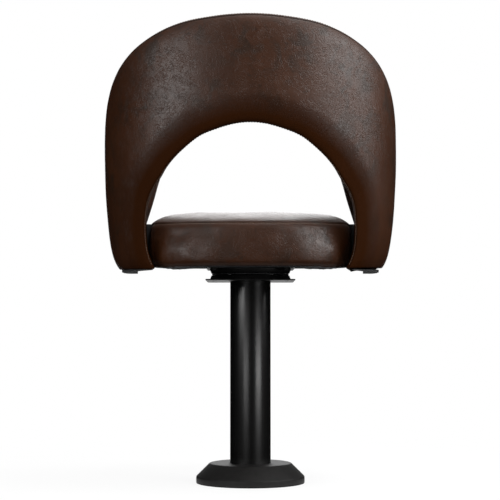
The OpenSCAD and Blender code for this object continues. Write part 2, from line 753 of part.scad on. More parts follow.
module arm_screws() {
    color("#8f9194") for (side = [-1, 1], i = [-1, 1])
        translate([side * rail_x, arm_screw_y(i), arm_screw_z])
            rotate([0, side * 90, 0]) union() {
                translate([0, 0, -arm_screw_head_h])
                    hex_head(arm_screw_head_r, arm_screw_head_h);
                cylinder(r = arm_screw_r, h = arm_screw_l(i), $fn = bore_fn);
            }
}

module seat_foam() {
    depth = seat_skin + layer_gap;
    base_z = board_t + layer_gap;
    low = [for (k = [1 : len(side_in_shares) - 2]) k];
    rings = concat([[for (t = seat_turns())
            concat(seat_xy(t, depth + seam_draw_in * side_in_shares[1]), base_z)]],
        [for (k = [2 : len(side_in_shares) - 2]) [for (t = seat_turns())
            side_point(t, k, depth)]],
        [for (s = top_ring_shares) [for (t = seat_turns()) top_point(t, s, depth)]]);
    n = seat_sides;
    m = len(rings);
    points = concat([for (r = rings) each r], [[0, seat_mid_y, base_z],
        [0, seat_mid_y, top_z(0, 0, depth)]]);
    walls = [for (j = [0 : m - 2], i = [0 : n - 1])
        let (a = j * n + i, b = j * n + (i + 1) % n)
        each [[a, b, b + n], [a, b + n, a + n]]];
    floor_fan = [for (i = [0 : n - 1]) [m * n, (i + 1) % n, i]];
    top_fan = [for (i = [0 : n - 1]) [m * n + 1, (m - 1) * n + i, (m - 1) * n + (i + 1) % n]];
    color("#d8c9a0") difference() {
        in_seat_frame() polyhedron(points, concat(walls, floor_fan, top_fan));
        foam_pockets();
    }
}

// Room in the seat foam for the rails, the screws' heads and the threaded inserts
module foam_pockets() {
    reach = arm_screw_head_h + layer_gap;
    for (side = [-1, 1]) in_seat_frame()
        translate([side > 0 ? rail_x - reach : -rail_x - rail_w - layer_gap,
            rail_mid_y - rail_l / 2 - layer_gap, 0])
            cube([rail_w + reach + layer_gap, rail_l + 2 * layer_gap,
                board_t + rail_h + layer_gap]);
    arm_screw_holes(layer_gap);
    at_plate_screws() translate([0, 0, board_z])
        cylinder(r = tnut_flange_r + layer_gap, h = board_t + 3 * tnut_flange_t
            + screw_pitch * tan(seat_tilt), $fn = bore_fn);
}

// Leather round the side of the seat, turned under the board
module seat_border() {
    last = len(side_in_shares) - 1;
    top_gap = seat_skin;
    function outer(t) = concat([concat(seat_xy(t, wrap_w), -seat_skin),
            concat(seat_xy(t, under_roll), -seat_skin)],
        [for (k = [0 : last - 1]) side_point(t, k, 0)],
        [side_point(t, last, 0) - [0, 0, top_gap]]);
    function inner(t) = concat([concat(seat_xy(t, wrap_w), -layer_gap),
            concat(seat_xy(t, under_roll), -layer_gap)],
        [for (k = [0 : last - 1]) side_point(t, k, leather_t)],
        [side_point(t, last, leather_t) - [0, 0, top_gap]]);
    profiles = [for (t = seat_turns()) let (i = inner(t))
        concat(outer(t), [for (k = [len(i) - 1 : -1 : 0]) i[k]])];
    color("#3b2418") difference() {
        in_seat_frame() ring(profiles);
        arm_screw_holes(layer_gap);
    }
}

// Crowned leather on top of the seat, out to the seam
module seat_top_panel() {
    n = seat_sides;
    m = len(top_ring_shares);
    half = n * m + 1;
    function skin(depth) = concat([for (s = top_ring_shares) for (t = seat_turns())
        top_point(t, s, depth)], [[0, seat_mid_y, top_z(0, 0, depth)]]);
    upper = concat([for (j = [0 : m - 2], i = [0 : n - 1])
        let (a = j * n + i, b = j * n + (i + 1) % n)
        each [[a, b, b + n], [a, b + n, a + n]]],
        [for (i = [0 : n - 1]) [half - 1, (m - 1) * n + i, (m - 1) * n + (i + 1) % n]]);
    lower = [for (f = upper) [f[2] + half, f[1] + half, f[0] + half]];
    edge = [for (i = [0 : n - 1]) let (b = (i + 1) % n)
        each [[i, b + half, b], [i, i + half, b + half]]];
    color("#3b2418") in_seat_frame()
        polyhedron(concat(skin(0), skin(leather_t)), concat(upper, lower, edge));
}

module seat_dust_cover() {
    opening = plate_w + 2 * (plate_t + layer_gap);
    color("#2b2b2d") in_seat_frame()
        translate([0, 0, -seat_skin - layer_gap - cloth_t]) linear_extrude(cloth_t)
            difference() {
                polygon(seat_outline(2 * under_roll));
                square(opening, center = true);
            }
}

module back_frame() {
    color("#b08d5f") difference() {
        slab(layer_grid([frame_t / 2, 0]), layer_grid([-frame_t / 2, 0]));
        arm_screw_holes(layer_gap);
    }
}

foam_face = frame_t / 2 + layer_gap;
module outer_foam() {
    color("#d8c9a0") slab(layer_grid([foam_face, 1]), layer_grid([foam_face, 0]));
}

module inner_foam() {
    color("#d8c9a0") difference() {
        slab(layer_grid([-foam_face, 0]), layer_grid([-foam_face, 1]));
        arm_screw_holes(layer_gap);
    }
}

module outer_panel() {
    color("#3b2418") slab(layer_grid([panel_face, 1]), layer_grid([panel_face - leather_t, 1]));
}

module inner_panel() {
    color("#3b2418") difference() {
        slab(layer_grid([leather_t - panel_face, 1]), layer_grid([-panel_face, 1]));
        arm_screw_holes(layer_gap);
    }
}

// A padded strip along one edge of the back, from the outer panel's seam to the inner one's
module border(edge, bulge) {
    step = 0.05;
    c = [edge, 0];
    function wall(p, side) = [shell_point(p, side, c, [panel_face, 1]),
        shell_point(p, side, c, [frame_t / 2, 0]), shell_point(p, side, c, [-frame_t / 2, 0]),
        shell_point(p, side, c, [-panel_face, 1])];
    function away(p, side) = let (w = wall(p, side),
        along = shell_point(p + step, side, c, [0, 0]) - shell_point(p - step, side, c, [0, 0]))
        unit(cross(along, w[3] - w[0])) * side * (edge == 0 ? -1 : 1);
    function section(p, side) = let (w = wall(p, side), n = away(p, side))
        concat([for (q = w) q + n * border_gap],
            [for (k = [len(border_shares) - 1 : -1 : 0]) let (s = border_shares[k])
                w[0] + s * (w[3] - w[0]) + n * (border_gap + leather_t
                    + (bulge - leather_t) * (1 - pow(2 * s - 1, 2)))]);
    sections = [for (q = places()) section(q[0], q[1])];
    crest = len(wall(0, 1)) + floor(len(border_shares) / 2);
    if (edge == 0) sweep(sections, crest);
    else sweep([for (s = sections) [for (k = [len(s) - 1 : -1 : 0]) s[k]]],
        len(sections[0]) - 1 - crest);
}

module top_border() {
    color("#33190c") border(0, edge_bulge);
}

module window_border() {
    color("#33190c") border(1, window_bulge);
}

// A cap under a leg: level below, and above as the leg's end rises
module leg_cap(side) {
    cols = columns(0);
    function ends(layer) = [for (c = cols) shell_point(0, side, c, layer)];
    function level(row) = [for (q = row) [q.x, q.y, leg_z]];
    function under(row) = [for (q = row) q - [0, 0, layer_gap]];
    near = ends([side * (panel_face - cap_inset), 1]);
    far = ends([-side * (panel_face - cap_inset), 1]);
    slab([level(near), level(far)], [under(near), under(far)]);
}

module leg_cap_left() {
    color("#3d3d3e") leg_cap(-1);
}

module leg_cap_right() {
    color("#3d3d3e") leg_cap(1);
}

floor_flange();
base_seal();
base_cover();
column_tube();
column_head();
lower_race();
king_pin();
pin_washer();
pin_nut();
bearing_balls();
ball_cage();
upper_race();
seat_plate();
pin_bush();
tilt_wedge();
plate_screws();
seat_board();
board_tnuts();
arm_rail_left();
arm_rail_right();
arm_spacer_left();
arm_spacer_right();
rail_screws();
arm_screws();
seat_foam();
seat_border();
seat_top_panel();
seat_dust_cover();
back_frame();
outer_foam();
inner_foam();
outer_panel();
inner_panel();
top_border();
window_border();
leg_cap_left();
leg_cap_right();
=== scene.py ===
"""Pedestal swivel armchair in brown leather, seen from behind.

Lengths in the shape functions are millimetres; a mesh is scaled to metres when it is made.
Azimuths are degrees from the middle of the back (-Y), the same way on both sides.
"""

import json
import math
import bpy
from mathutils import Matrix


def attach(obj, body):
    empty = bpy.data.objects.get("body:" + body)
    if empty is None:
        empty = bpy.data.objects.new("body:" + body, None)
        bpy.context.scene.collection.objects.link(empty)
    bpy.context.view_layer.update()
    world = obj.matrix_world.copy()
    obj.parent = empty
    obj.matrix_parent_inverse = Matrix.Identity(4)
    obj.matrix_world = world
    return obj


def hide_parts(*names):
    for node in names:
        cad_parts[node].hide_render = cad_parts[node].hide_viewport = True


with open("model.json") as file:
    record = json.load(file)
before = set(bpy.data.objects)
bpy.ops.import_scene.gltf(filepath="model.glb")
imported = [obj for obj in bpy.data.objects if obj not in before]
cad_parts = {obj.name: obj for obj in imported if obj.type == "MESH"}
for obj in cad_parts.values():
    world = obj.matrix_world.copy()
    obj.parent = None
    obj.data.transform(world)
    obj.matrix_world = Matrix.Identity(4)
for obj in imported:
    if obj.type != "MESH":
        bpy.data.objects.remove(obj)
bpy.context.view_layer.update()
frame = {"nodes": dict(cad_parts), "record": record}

from types import SimpleNamespace as Sizes

import bpy
import numpy as np

MM = 0.001

# Camera
SENSOR_MM = 36.0
IMAGE_PX = 500
FOCAL_PX = 1452.0
CAMERA_PLACE = (-0.00075, -2.740, 0.2964)
CAMERA_PITCH = 2.92

camera_data = bpy.data.cameras.new("camera")
camera_data.sensor_width = SENSOR_MM
camera_data.lens = SENSOR_MM * FOCAL_PX / IMAGE_PX
camera = bpy.data.objects.new("camera", camera_data)
camera.location = CAMERA_PLACE
camera.rotation_euler = (math.radians(90 + CAMERA_PITCH), 0, 0)
bpy.context.collection.objects.link(camera)
bpy.context.scene.camera = camera
bpy.context.scene.view_settings.view_transform = "Standard"

# Sizes of the chair
BACK = Sizes(
    top_z=835.5, arm_tip_z=606.0, window_top_z=646.3, leg_z=393.1, half_w=274.8,
    depth=262.0, thick=42.0, frame=10.0, arm_tip_angle=133.5, leg_rear_angle=47.0,
    taper_in=20.7, taper_rise=300.0, foot_roll_in=14.0, foot_roll_rise=15.0, roll_w=28.0,
    edge_bulge=5.0, window_bulge=5.0, cap=0.8, foot=27.0,
)
SEAT = Sizes(
    half_w=194.0, length=432.0, rear=192.0, seam_h=76.6, crown_h=22.0, draw_in=8.0,
    tilt=1.6, board_z=406.0, wrap=24.0,
)
LEATHER = 1.5
LAYER_GAP = 0.3
BORDER_GAP = 0.6
CONTACT_GAP = 2.5
SKIN = LEATHER + 2 * LAYER_GAP
PANEL_FACE = BACK.frame / 2 + SKIN
PLAN_POWER = 2.2
SEAT_POWER = 3.2
# Padding of the back, in shares of its thickness: a flat dome, a quarter roll at a seam, and
# on the outer face a fall to the window, whose width is a share of the row at most
DOME_SHARE = 0.10
ROLL_SHARE = 0.35
EDGE_PAD_SHARE = 1 - DOME_SHARE - ROLL_SHARE
FALL = Sizes(share=0.75, power=1.4, width=44.0, row_share=0.55)
# Rear of the seat's padding: an arc that meets the leaning sides in a corner, the heights over
# which it leaves the board's outline outwards and inwards, and those of its room in the back
REAR = Sizes(arc_r=255.0, corner_at=62.0, side_x=183.7, side_lean=0.35, corner_r=3.0,
             out_from=3.0, out_over=20.0, in_from=8.0, in_over=72.0, room_top=160.0,
             room_over=60.0)
# Softness of the inner face's blend, and the back's arc to a degree of azimuth
LINING_SOFT = 2.0
DEGREE_MM = 4.8
# How far from a seam the painted shade of the back's leather and of the seat's leather reaches
BACK_SHADE = 10
SEAT_SHADE = 8
# Rounded edges of the leather at its seams and at the legs' feet
SEAM_LIP = 1.1
WINDOW_LIP = 1.7
FOOT_LIP = 5.0
SEAT_LIP = 1.8
# How soon puckers begin at a seam, and how far they are drawn out across it
PUCKER_START = 1.5
PUCKER_DRAW = 0.4

# Edges of the back from a leg's foot to the middle of the top: the outer edge's azimuth as a
# share of the arm tip's and its rise (0 foot, 1 arm tip, 2 top), then the window edge's azimuth
# as a share of the leg's and its rise as a share of the window's height.
EDGE_TABLE = np.array([
    [0.779, 0, 1, 0], [0.843, 0.248, 1.013, 0.116], [0.912, 0.518, 1.008, 0.215],
    [0.971, 0.801, 0.993, 0.312], [1, 1, 0.974, 0.391], [0.944, 1.096, 0.949, 0.454],
    [0.816, 1.137, 0.91, 0.517], [0.704, 1.205, 0.853, 0.579], [0.629, 1.325, 0.793, 0.637],
    [0.554, 1.48, 0.722, 0.714], [0.462, 1.657, 0.603, 0.808], [0.349, 1.818, 0.438, 0.908],
    [0.225, 1.935, 0.27, 0.961], [0.105, 1.984, 0.128, 0.991], [0, 2, 0, 1],
])
TOP_ROW = len(EDGE_TABLE) - 1
# Side of the seat: height as a share of the seam's height, and how far in as a share
SIDE_RISE_SHARES = np.array([0.03, 0.1, 0.28, 0.5, 0.7, 0.88, 1.0])
SIDE_IN_SHARES = np.array([0.60, 0.24, 0.04, 0.03, 0.18, 0.36, 1.0])


# Meshes
def signed_volume(points, faces):
    """Sum over the faces' triangles of (p0 x p1) . p2 / 6, positive with normals outward."""
    total = 0.0
    for k in range(1, faces.shape[1] - 1):
        a, b, c = points[faces[:, 0]], points[faces[:, k]], points[faces[:, k + 1]]
        total += np.einsum("ij,ij->", np.cross(a, b), c) / 6
    return total


def make_piece(name, points, quads, more=(), facts=None):
    """A mesh object from points in mm, quads, and other faces as lists of corners."""
    points = np.asarray(points, float).reshape(-1, 3)
    quads = np.asarray(quads, int).reshape(-1, 4)
    if signed_volume(points, quads) < 0:
        quads = quads[:, ::-1]
        more = [list(f)[::-1] for f in more]
    mesh = bpy.data.meshes.new(name)
    mesh.from_pydata((points * MM).tolist(), [], quads.tolist() + [list(f) for f in more])
    mesh.polygons.foreach_set("use_smooth", [True] * len(mesh.polygons))
    for key, values in (facts or {}).items():
        mesh.attributes.new(key, "FLOAT", "POINT").data.foreach_set(
            "value", np.asarray(values, np.float32).ravel())
    mesh.update()
    piece = bpy.data.objects.new(name, mesh)
    bpy.context.collection.objects.link(piece)
    return piece


def grid_quads(rows, cols, ring_rows, ring_cols):
    """Quads of a grid of points; a ring joins its last row or column to the first."""
    i = np.arange(rows if ring_rows else rows - 1)[:, None]
    j = np.arange(cols if ring_cols else cols - 1)[None, :]
    i2, j2 = (i + 1) % rows, (j + 1) % cols
    return np.stack([i * cols + j, i * cols + j2, i2 * cols + j2, i2 * cols + j], -1)


def carried(name, sections, ring=False, facts=None):
    """Closed sections, rows x points x 3, carried along a path: closed into a ring, or with
    its two ends covered."""
    rows, n = sections.shape[:2]
    ends = [] if ring else [range(n - 1, -1, -1), range((rows - 1) * n, rows * n)]
    return make_piece(name, sections, grid_quads(rows, n, ring, True), ends, facts)


def round_piece(name, rings, facts=None, poles=False):
    """Rings of points about the upright axis, from one end to the other. Without poles the
    last ring joins the first; with them each end closes on its middle."""
    rows, n = rings.shape[:2]
    if not poles:
        return make_piece(name, rings, grid_quads(rows, n, True, True), (), facts)
    points = np.concatenate([rings.reshape(-1, 3), rings[:1].mean(1), rings[-1:].mean(1)])
    first, last = rows * n, rows * n + 1
    turn = [(k, (k + 1) % n) for k in range(n)]
    fans = [[first, b, a] for a, b in turn]
    fans += [[last, (rows - 1) * n + a, (rows - 1) * n + b] for a, b in turn]
    if facts:
        facts = {k: np.append(np.ravel(f), [np.ravel(f)[0], np.ravel(f)[-1]])
                 for k, f in facts.items()}
    return make_piece(name, points, grid_quads(rows, n, False, True), fans, facts)


def unit(v):
    """Vectors drawn to a length of 1."""
    return v / np.maximum(np.linalg.norm(v, axis=-1, keepdims=True), 1e-9)


def facing(n, way):
    """Each vector, or its opposite where it points against the way."""
    return n * np.sign(np.einsum("ij,ij->i", n, way))[:, None]


def grid_normals(grid, ring_rows=False, ring_cols=False):
    """Unit cross product of the central differences along the two ways of a grid."""
    def step(axis, ring):
        if ring:
            return np.roll(grid, -1, axis) - np.roll(grid, 1, axis)
        return np.gradient(grid, axis=axis)
    return unit(np.cross(step(0, ring_rows), step(1, ring_cols)))


def ripple(x, y, length, seed, count=14):
    """Smooth uneven waves of about one length: a mean of sines with random headings, lengths
    from 0.6 to 1.6 of the given one and random starts; its spread is about 1."""
    rng = np.random.default_rng(seed)
    heading = rng.uniform(0, 2 * np.pi, count)
    k = 2 * np.pi / (length * rng.uniform(0.6, 1.6, count))
    start = rng.uniform(0, 2 * np.pi, count)
    total = sum(np.sin(k[i] * (x * np.cos(heading[i]) + y * np.sin(heading[i])) + start[i])
                for i in range(count))
    return total * math.sqrt(2 / count)


def lip(d, r):
    """Drop of a rounded edge of radius r at a distance d from it: r - sqrt(r^2 - (r - d)^2)."""
    x = np.clip(r - d, 0, r)
    return r - np.sqrt(np.maximum(r * r - x * x, 0))


def puckers(along, away, seam, height, length, fade, seed):
    """Puckers that start at a seam's stitches and fade away from them, at a distance d:
    height exp(-d / fade) (1 - exp(-d / 1.5)) times ripples drawn out across the seam."""
    gathered = height * np.exp(-seam / fade) * (1 - np.exp(-seam / PUCKER_START))
    return gathered * ripple(along, away * PUCKER_DRAW, length, seed)


def smooth_step(a, b, c, d, t):
    """Catmull-Rom curve from b to c: half of 2b + t (c - a) + t^2 (2a - 5b + 4c - d)
    + t^3 (3b - a - 3c + d)."""
    return 0.5 * (2 * b + t * (c - a) + t ** 2 * (2 * a - 5 * b + 4 * c - d)
                  + t ** 3 * (3 * b - a - 3 * c + d))


def travelled(steps):
    """Distance of each point along a line from the lengths of its steps."""
    return np.concatenate([[0], np.cumsum(steps)])


def ease(x):
    """3 x^2 - 2 x^3 between 0 and 1."""
    x = np.clip(x, 0, 1)
    return 3 * x ** 2 - 2 * x ** 3


def quarter(x):
    """Drop of a quarter circle: 1 - sqrt(1 - x^2)."""
    return 1 - np.sqrt(np.maximum(1 - x ** 2, 0))


# Shape of the back
def edges_at(p):
    """Catmull-Rom curve through EDGE_TABLE: outer azimuth and z, window azimuth and z."""
    flip = np.array([-1, 1, -1, 1])
    rows = np.vstack([2 * EDGE_TABLE[0] - EDGE_TABLE[1], EDGE_TABLE,
                      EDGE_TABLE[TOP_ROW - 1] * flip, EDGE_TABLE[TOP_ROW - 2] * flip])
    k = np.clip(np.floor(p).astype(int), 0, TOP_ROW)
    t = (p - k)[..., None]
    a, b, c, d = rows[k], rows[k + 1], rows[k + 2], rows[np.minimum(k + 3, len(rows) - 1)]
    out_a, out_s, win_a, win_s = np.moveaxis(smooth_step(a, b, c, d, t), -1, 0)
    foot_z = BACK.leg_z + BACK.cap + LAYER_GAP
    foot_r = BACK.half_w - BACK.taper_in - BACK.foot_roll_in
    front = EDGE_TABLE[0, 0] * BACK.arm_tip_angle
    front_z = foot_z + foot_r * math.tan(math.radians(SEAT.tilt)) * (
        math.cos(math.radians(BACK.leg_rear_angle)) - math.cos(math.radians(front)))
    top_z = BACK.top_z - BACK.edge_bulge - BORDER_GAP
    win_top = BACK.window_top_z + BACK.window_bulge + BORDER_GAP
    out_z = np.where(out_s <= 1, front_z + out_s * (BACK.arm_tip_z - front_z),
                     BACK.arm_tip_z + (out_s - 1) * (top_z - BACK.arm_tip_z))
    return (out_a * BACK.arm_tip_angle, out_z, win_a * BACK.leg_rear_angle,
            foot_z + win_s * (win_top - foot_z))


def face_r(a, z):
    """Plan radius of the outer face: a superellipse, (|sin a| / w)^n + (|cos a| / d)^n = r^-n,
    drawn in towards the floor by 14 exp(-h / 15) + 20.7 (1 - h / 300)^3 at a height h."""
    h = np.maximum(z - BACK.leg_z, 0)
    draw = BACK.foot_roll_in * np.exp(-h / BACK.foot_roll_rise)
    draw = draw + BACK.taper_in * np.maximum(1 - h / BACK.taper_rise, 0) ** 3
    s, c, n = np.abs(np.sin(np.radians(a))), np.abs(np.cos(np.radians(a))), PLAN_POWER
    return ((s / (BACK.half_w - draw)) ** n + (c / (BACK.depth - draw)) ** n) ** (-1 / n)


def seat_r(a, inset=0.0, halvings=22):
    """Radius of the seat's outline |x / w|^n + |y / l|^n = 1 at an azimuth, by halving."""
    s, c, n = np.sin(np.radians(a)), np.cos(np.radians(a)), SEAT_POWER
    mid_y, half_l = SEAT.length / 2 - SEAT.rear, SEAT.length / 2 - inset
    low, high = np.zeros_like(s), np.full_like(s, SEAT.length)
    for _ in range(halvings):
        r = (low + high) / 2
        outside = (np.abs(r * s / (SEAT.half_w - inset)) ** n
                   + np.abs((r * c + mid_y) / half_l) ** n) > 1
        low, high = np.where(outside, low, r), np.where(outside, r, high)
    return high


def rear_change(a, rise):
    """How far the padded rear of the seat stands out of its board's outline, in mm, at an
    azimuth and a height over the board. The rear is an arc of 255 mm that meets the sides
    in a corner near 57 degrees: r = -3 log(exp(-arc / 3) + exp(-side / 3)) - seat_r, where
    the change comes in over the seat's height, or over 20 mm where it stands out."""
    a = np.abs(a)
    s, c = np.sin(np.radians(a)), np.cos(np.radians(a))
    centre = REAR.arc_r - SEAT.rear
    arc = np.sqrt(np.maximum(REAR.arc_r ** 2 - (centre * s) ** 2, 0)) - centre * c
    side = (REAR.side_x - REAR.side_lean * (REAR.corner_at - a)) / np.maximum(s, 0.05)
    least, soft = np.minimum(arc, side), REAR.corner_r
    r = least - soft * np.log(np.exp((least - arc) / soft) + np.exp((least - side) / soft))
    change = np.where(a < REAR.corner_at, r - seat_r(a), 0)
    outwards = ease((rise - REAR.out_from) / REAR.out_over)
    inwards = ease((rise - REAR.in_from) / REAR.in_over)
    return change * np.where(change > 0, outwards, inwards)


def lining_r(a, z):
    """Plan radius of the inner face: a soft greatest of the padded thickness, the clearance
    round the seat and the leg's thickness, 2 log(sum exp(r / 2)) in mm."""
    beside = ease((SEAT.board_z + REAR.room_top - z) / REAR.room_over)
    full = np.maximum(rear_change(a, z - SEAT.board_z), 0) * beside
    r = np.stack([face_r(a, z) - BACK.thick, seat_r(a) + full + CONTACT_GAP,
                  face_r(a, np.full_like(z, BACK.leg_z)) - BACK.foot])
    top = r.max(0)
    return top + LINING_SOFT * np.log(np.exp((r - top) / LINING_SOFT).sum(0))


def row_shape(p, reach=0.8, least=0.5, evened=15):
    """Length of each row across the back, and how square it meets the outer and the window
    edge: the sine of the angle between row and edge, with a least value, evened along the
    rows. The edge's heading is taken over a reach of rows to both sides."""
    arc = math.radians(1) * BACK.half_w
    a0, z0, a1, z1 = edges_at(p)
    row = np.stack([(a1 - a0) * arc, z1 - z0], -1)
    length = np.linalg.norm(row, axis=-1)
    lean = []
    for i in (0, 2):
        after, before = edges_at(p + reach), edges_at(np.abs(p - reach))
        t = np.stack([(after[i] - before[i]) * arc, after[i + 1] - before[i + 1]], -1)
        cross = t[..., 0] * row[..., 1] - t[..., 1] * row[..., 0]
        s = np.abs(cross) / np.maximum(np.linalg.norm(t, axis=-1) * length, 1e-9)
        s = np.pad(np.maximum(s, least), evened // 2, mode="edge")
        lean.append(np.convolve(s, np.ones(evened) / evened, "valid"))
    return length, lean[0], lean[1]


class Back:
    """The grid of the back: rows along it, from the left foot over the top to the right foot,
    and columns across it, from the outer edge's seam to the window's seam, with the distance
    of every point to both seams in mm."""

    near = np.array([0, 0.35, 0.8, 1.3, 2, 3, 4.5, 6.5, 9, 12, 15, 18.5, 22, 26])

    def __init__(self, half, field):
        u = np.linspace(-1, 1, 2 * half + 1)
        self.p, self.side = TOP_ROW * (1 - np.abs(u)), np.where(u < 0, -1.0, 1.0)
        self.a0, self.z0, self.a1, self.z1 = (e[:, None] for e in edges_at(self.p))
        length, lean0, lean1 = (s[:, None] for s in row_shape(self.p))
        roll = BACK.roll_w
        start, end = roll / length / lean0, roll / length / lean1
        share = self.near[None, :] / roll
        mid = np.linspace(0, 1, field)[None, :]
        self.v = np.concatenate([share * start, start + mid * (1 - start - end),
                                 1 - share[:, ::-1] * end], 1)
        self.d_out, self.d_win = self.v * length * lean0, (1 - self.v) * length * lean1
        self.z = self.z0 + self.v * (self.z1 - self.z0)
        across = np.gradient(self.a0[:, 0] * self.side * DEGREE_MM)
        step = np.hypot(across, np.gradient(self.z0[:, 0]))
        self.along = np.cumsum(step)[:, None] * np.ones_like(self.v)

    def radius(self, a, z, d_out, d_win, v, way, inside=None):
        """Plan radius of a face, or of a place inside at a distance from the frame's middle.
        way is 1 for the outer face and -1 for the inner one. The padding P thins as
        P (1 - 0.1 (2v-1)^2 - roll). The roll is 0.35 of a quarter circle over the last 28 mm
        at a seam, but the outer face falls off to the window by 0.75 x^1.4 over its last
        44 mm, where x is the closeness to the seam."""
        out_r, in_r = face_r(a, z), lining_r(a, z)
        if inside is not None:
            return (out_r + in_r) / 2 + way * inside
        whole = (out_r - in_r - BACK.frame) / 2 - SKIN
        roll = ROLL_SHARE * quarter(np.clip(1 - d_out / BACK.roll_w, 0, 1))
        if way > 0:
            width = np.minimum(FALL.width, FALL.row_share * (d_out + d_win))
            close = np.clip(1 - d_win / np.maximum(width, 1), 0, 1)
            roll = roll + FALL.share * close ** FALL.power
        else:
            roll = roll + ROLL_SHARE * quarter(np.clip(1 - d_win / BACK.roll_w, 0, 1))
        pad = whole * (1 - DOME_SHARE * (2 * v - 1) ** 2 - roll)
        return (out_r + in_r) / 2 + way * (PANEL_FACE + pad)

    def points(self, way, inside=None, beyond=99, steepest=0.98):
        """Points of a face, or of the frame's side of a cover. The window is cut along Y, so
        deeper faces turn further round: a = a0 + v (a1 - a0) + v^2 (asin(x / r) - a1) at the
        window's x. beyond is out of the outer roll's reach."""
        one, zero = np.ones_like(self.a1), np.zeros_like(self.a1)
        out_r, in_r = face_r(self.a1, self.z1), lining_r(self.a1, self.z1)
        edge = PANEL_FACE + EDGE_PAD_SHARE * ((out_r - in_r - BACK.frame) / 2 - SKIN)
        x = ((out_r + in_r) / 2 + edge) * np.sin(np.radians(self.a1))
        r1 = self.radius(self.a1, self.z1, one * beyond, zero, one, way, inside)
        turn = np.degrees(np.arcsin(np.clip(x / r1, -steepest, steepest))) - self.a1
        a = self.a0 + self.v * (self.a1 - self.a0) + self.v ** 2 * turn
        r = self.radius(a, self.z, self.d_out, self.d_win, self.v, way, inside)
        s = self.side[:, None] * r * np.sin(np.radians(a))
        return np.stack([s, -r * np.cos(np.radians(a)), self.z], -1)


def edge_walls(back, col):
    """Points of both faces along an edge, and the unit vector that leads away from it."""
    outer, inner = back.points(1), back.points(-1)
    w0, w3 = outer[:, col], inner[:, col]
    past_roll = len(back.near) - 2
    behind = outer[:, past_roll if col == 0 else -past_roll - 1]
    n = unit(np.cross(np.gradient((w0 + w3) / 2, axis=0), w3 - w0))
    return w0, w3, facing(n, w0 - behind)


WINDOW_SEAM = Sizes(leg_share=0.04, rise_share=0.46, place=8.0, over=3.5)


def window_seam(back):
    """Where the window's rear seam lies, as a share of the way through the back. The outer
    cover wraps round the arch as far as 0.5, and the seam comes back to 0.04 down the legs:
    0.04 + 0.46 (3t^2 - 2t^3), where t runs from 0 at place 8 to 1 at place 11.5."""
    turn = ease((back.p - WINDOW_SEAM.place) / WINDOW_SEAM.over)
    return WINDOW_SEAM.leg_share + WINDOW_SEAM.rise_share * turn


def strip_rise(s, bulge):
    """Height of a strip over the edge: gap + leather + (bulge - leather) (1 - (2s - 1)^2)."""
    return BORDER_GAP + LEATHER + (bulge - LEATHER) * (1 - (2 * s - 1) ** 2)


def along_edge(walls, s, rise):
    """Points at shares of the way through the back, raised away from its edge."""
    w0, w3, n = walls
    wall = w0[:, None] + s[..., None] * (w3 - w0)[:, None]
    return wall + n[:, None] * rise[..., None]


def wrap_columns(back, face, columns=10, dropped=4, evened=12, passes=10):
    """Columns that carry the outer cover round the window's edge to the seam, in place of
    the face's last ones. The corner between them is evened: points are drawn to the mean of
    their neighbours, less at the legs, where the seam is close."""
    walls = edge_walls(back, -1)
    seam = window_seam(back)[:, None]
    s = seam * np.linspace(0.08, 1, columns)[None, :]
    width = np.linalg.norm(walls[1] - walls[0], axis=-1)[:, None]
    wall = along_edge(walls, s, strip_rise(s, BACK.window_bulge))
    grid = np.concatenate([face[:, :-dropped], wall], 1)
    first, last = face.shape[1] - evened, grid.shape[1] - 3
    arch = WINDOW_SEAM.leg_share + WINDOW_SEAM.rise_share
    pull = np.clip(seam / arch, 0.15, 1)[:, :, None] * 0.5
    for _ in range(passes):
        mean = (grid[:, first - 1:last - 1] + grid[:, first + 1:last + 1]) / 2
        grid[:, first:last] += pull * (mean - grid[:, first:last])
    to_seam = np.concatenate([back.d_win[:, :-dropped] + seam * width, (seam - s) * width], 1)
    return grid, to_seam


def cover_face(back, way, seed, shade_band_w=38.0, shade_band_full=1.5):
    """A cover's face: the back's face, rounded at its seams and at the legs' feet, with
    shallow waves of about 90 mm and slight puckers of about 14 mm. It also gives every
    point's distance to the nearest seam, and how far it lies in the band of painted shade where
    the face rolls away to the window: 1.5 - d / 38 between 0 and 1."""
    face, to_win = back.points(way), back.d_win
    if way > 0:
        face, to_win = wrap_columns(back, face)
    more = ((0, 0), (0, face.shape[1] - back.d_out.shape[1]))
    to_out, along = (np.pad(d, more, mode="edge") for d in (back.d_out, back.along))
    foot = np.minimum(along, along[-1:] - along)
    x = np.degrees(np.arctan2(face[..., 0], -face[..., 1])) * DEGREE_MM
    seam = np.minimum(to_out, to_win)
    depth = lip(to_out, SEAM_LIP) + lip(to_win, WINDOW_LIP) + lip(foot, FOOT_LIP)
    depth = depth + 0.15 * (1 - np.exp(-seam / 18)) * ripple(x, face[..., 2], 90, seed)
    depth = depth + puckers(along, seam, seam, height=0.09, length=14, fade=9, seed=seed + 1)
    n = grid_normals(face)
    middle = face.shape[1] // 2
    outwards = np.sign(np.einsum("ij,ij->", n[:, middle, :2], face[:, middle, :2]))
    shade_band = np.clip(shade_band_full - to_win / shade_band_w, 0, 1) if way > 0 else np.zeros_like(seam)
    return face - way * outwards * n * depth[..., None], seam, shade_band


def dress(piece, *nodes, body="chair", slot="brown_leather", look=None):
    """A piece rides on its body, stands for its nodes and gets its look, that of its slot unless
    one is given.
    """
    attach(piece, body)
    if nodes:
        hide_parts(*nodes)
    piece.data.materials.append(look or LOOKS[slot])
    return piece


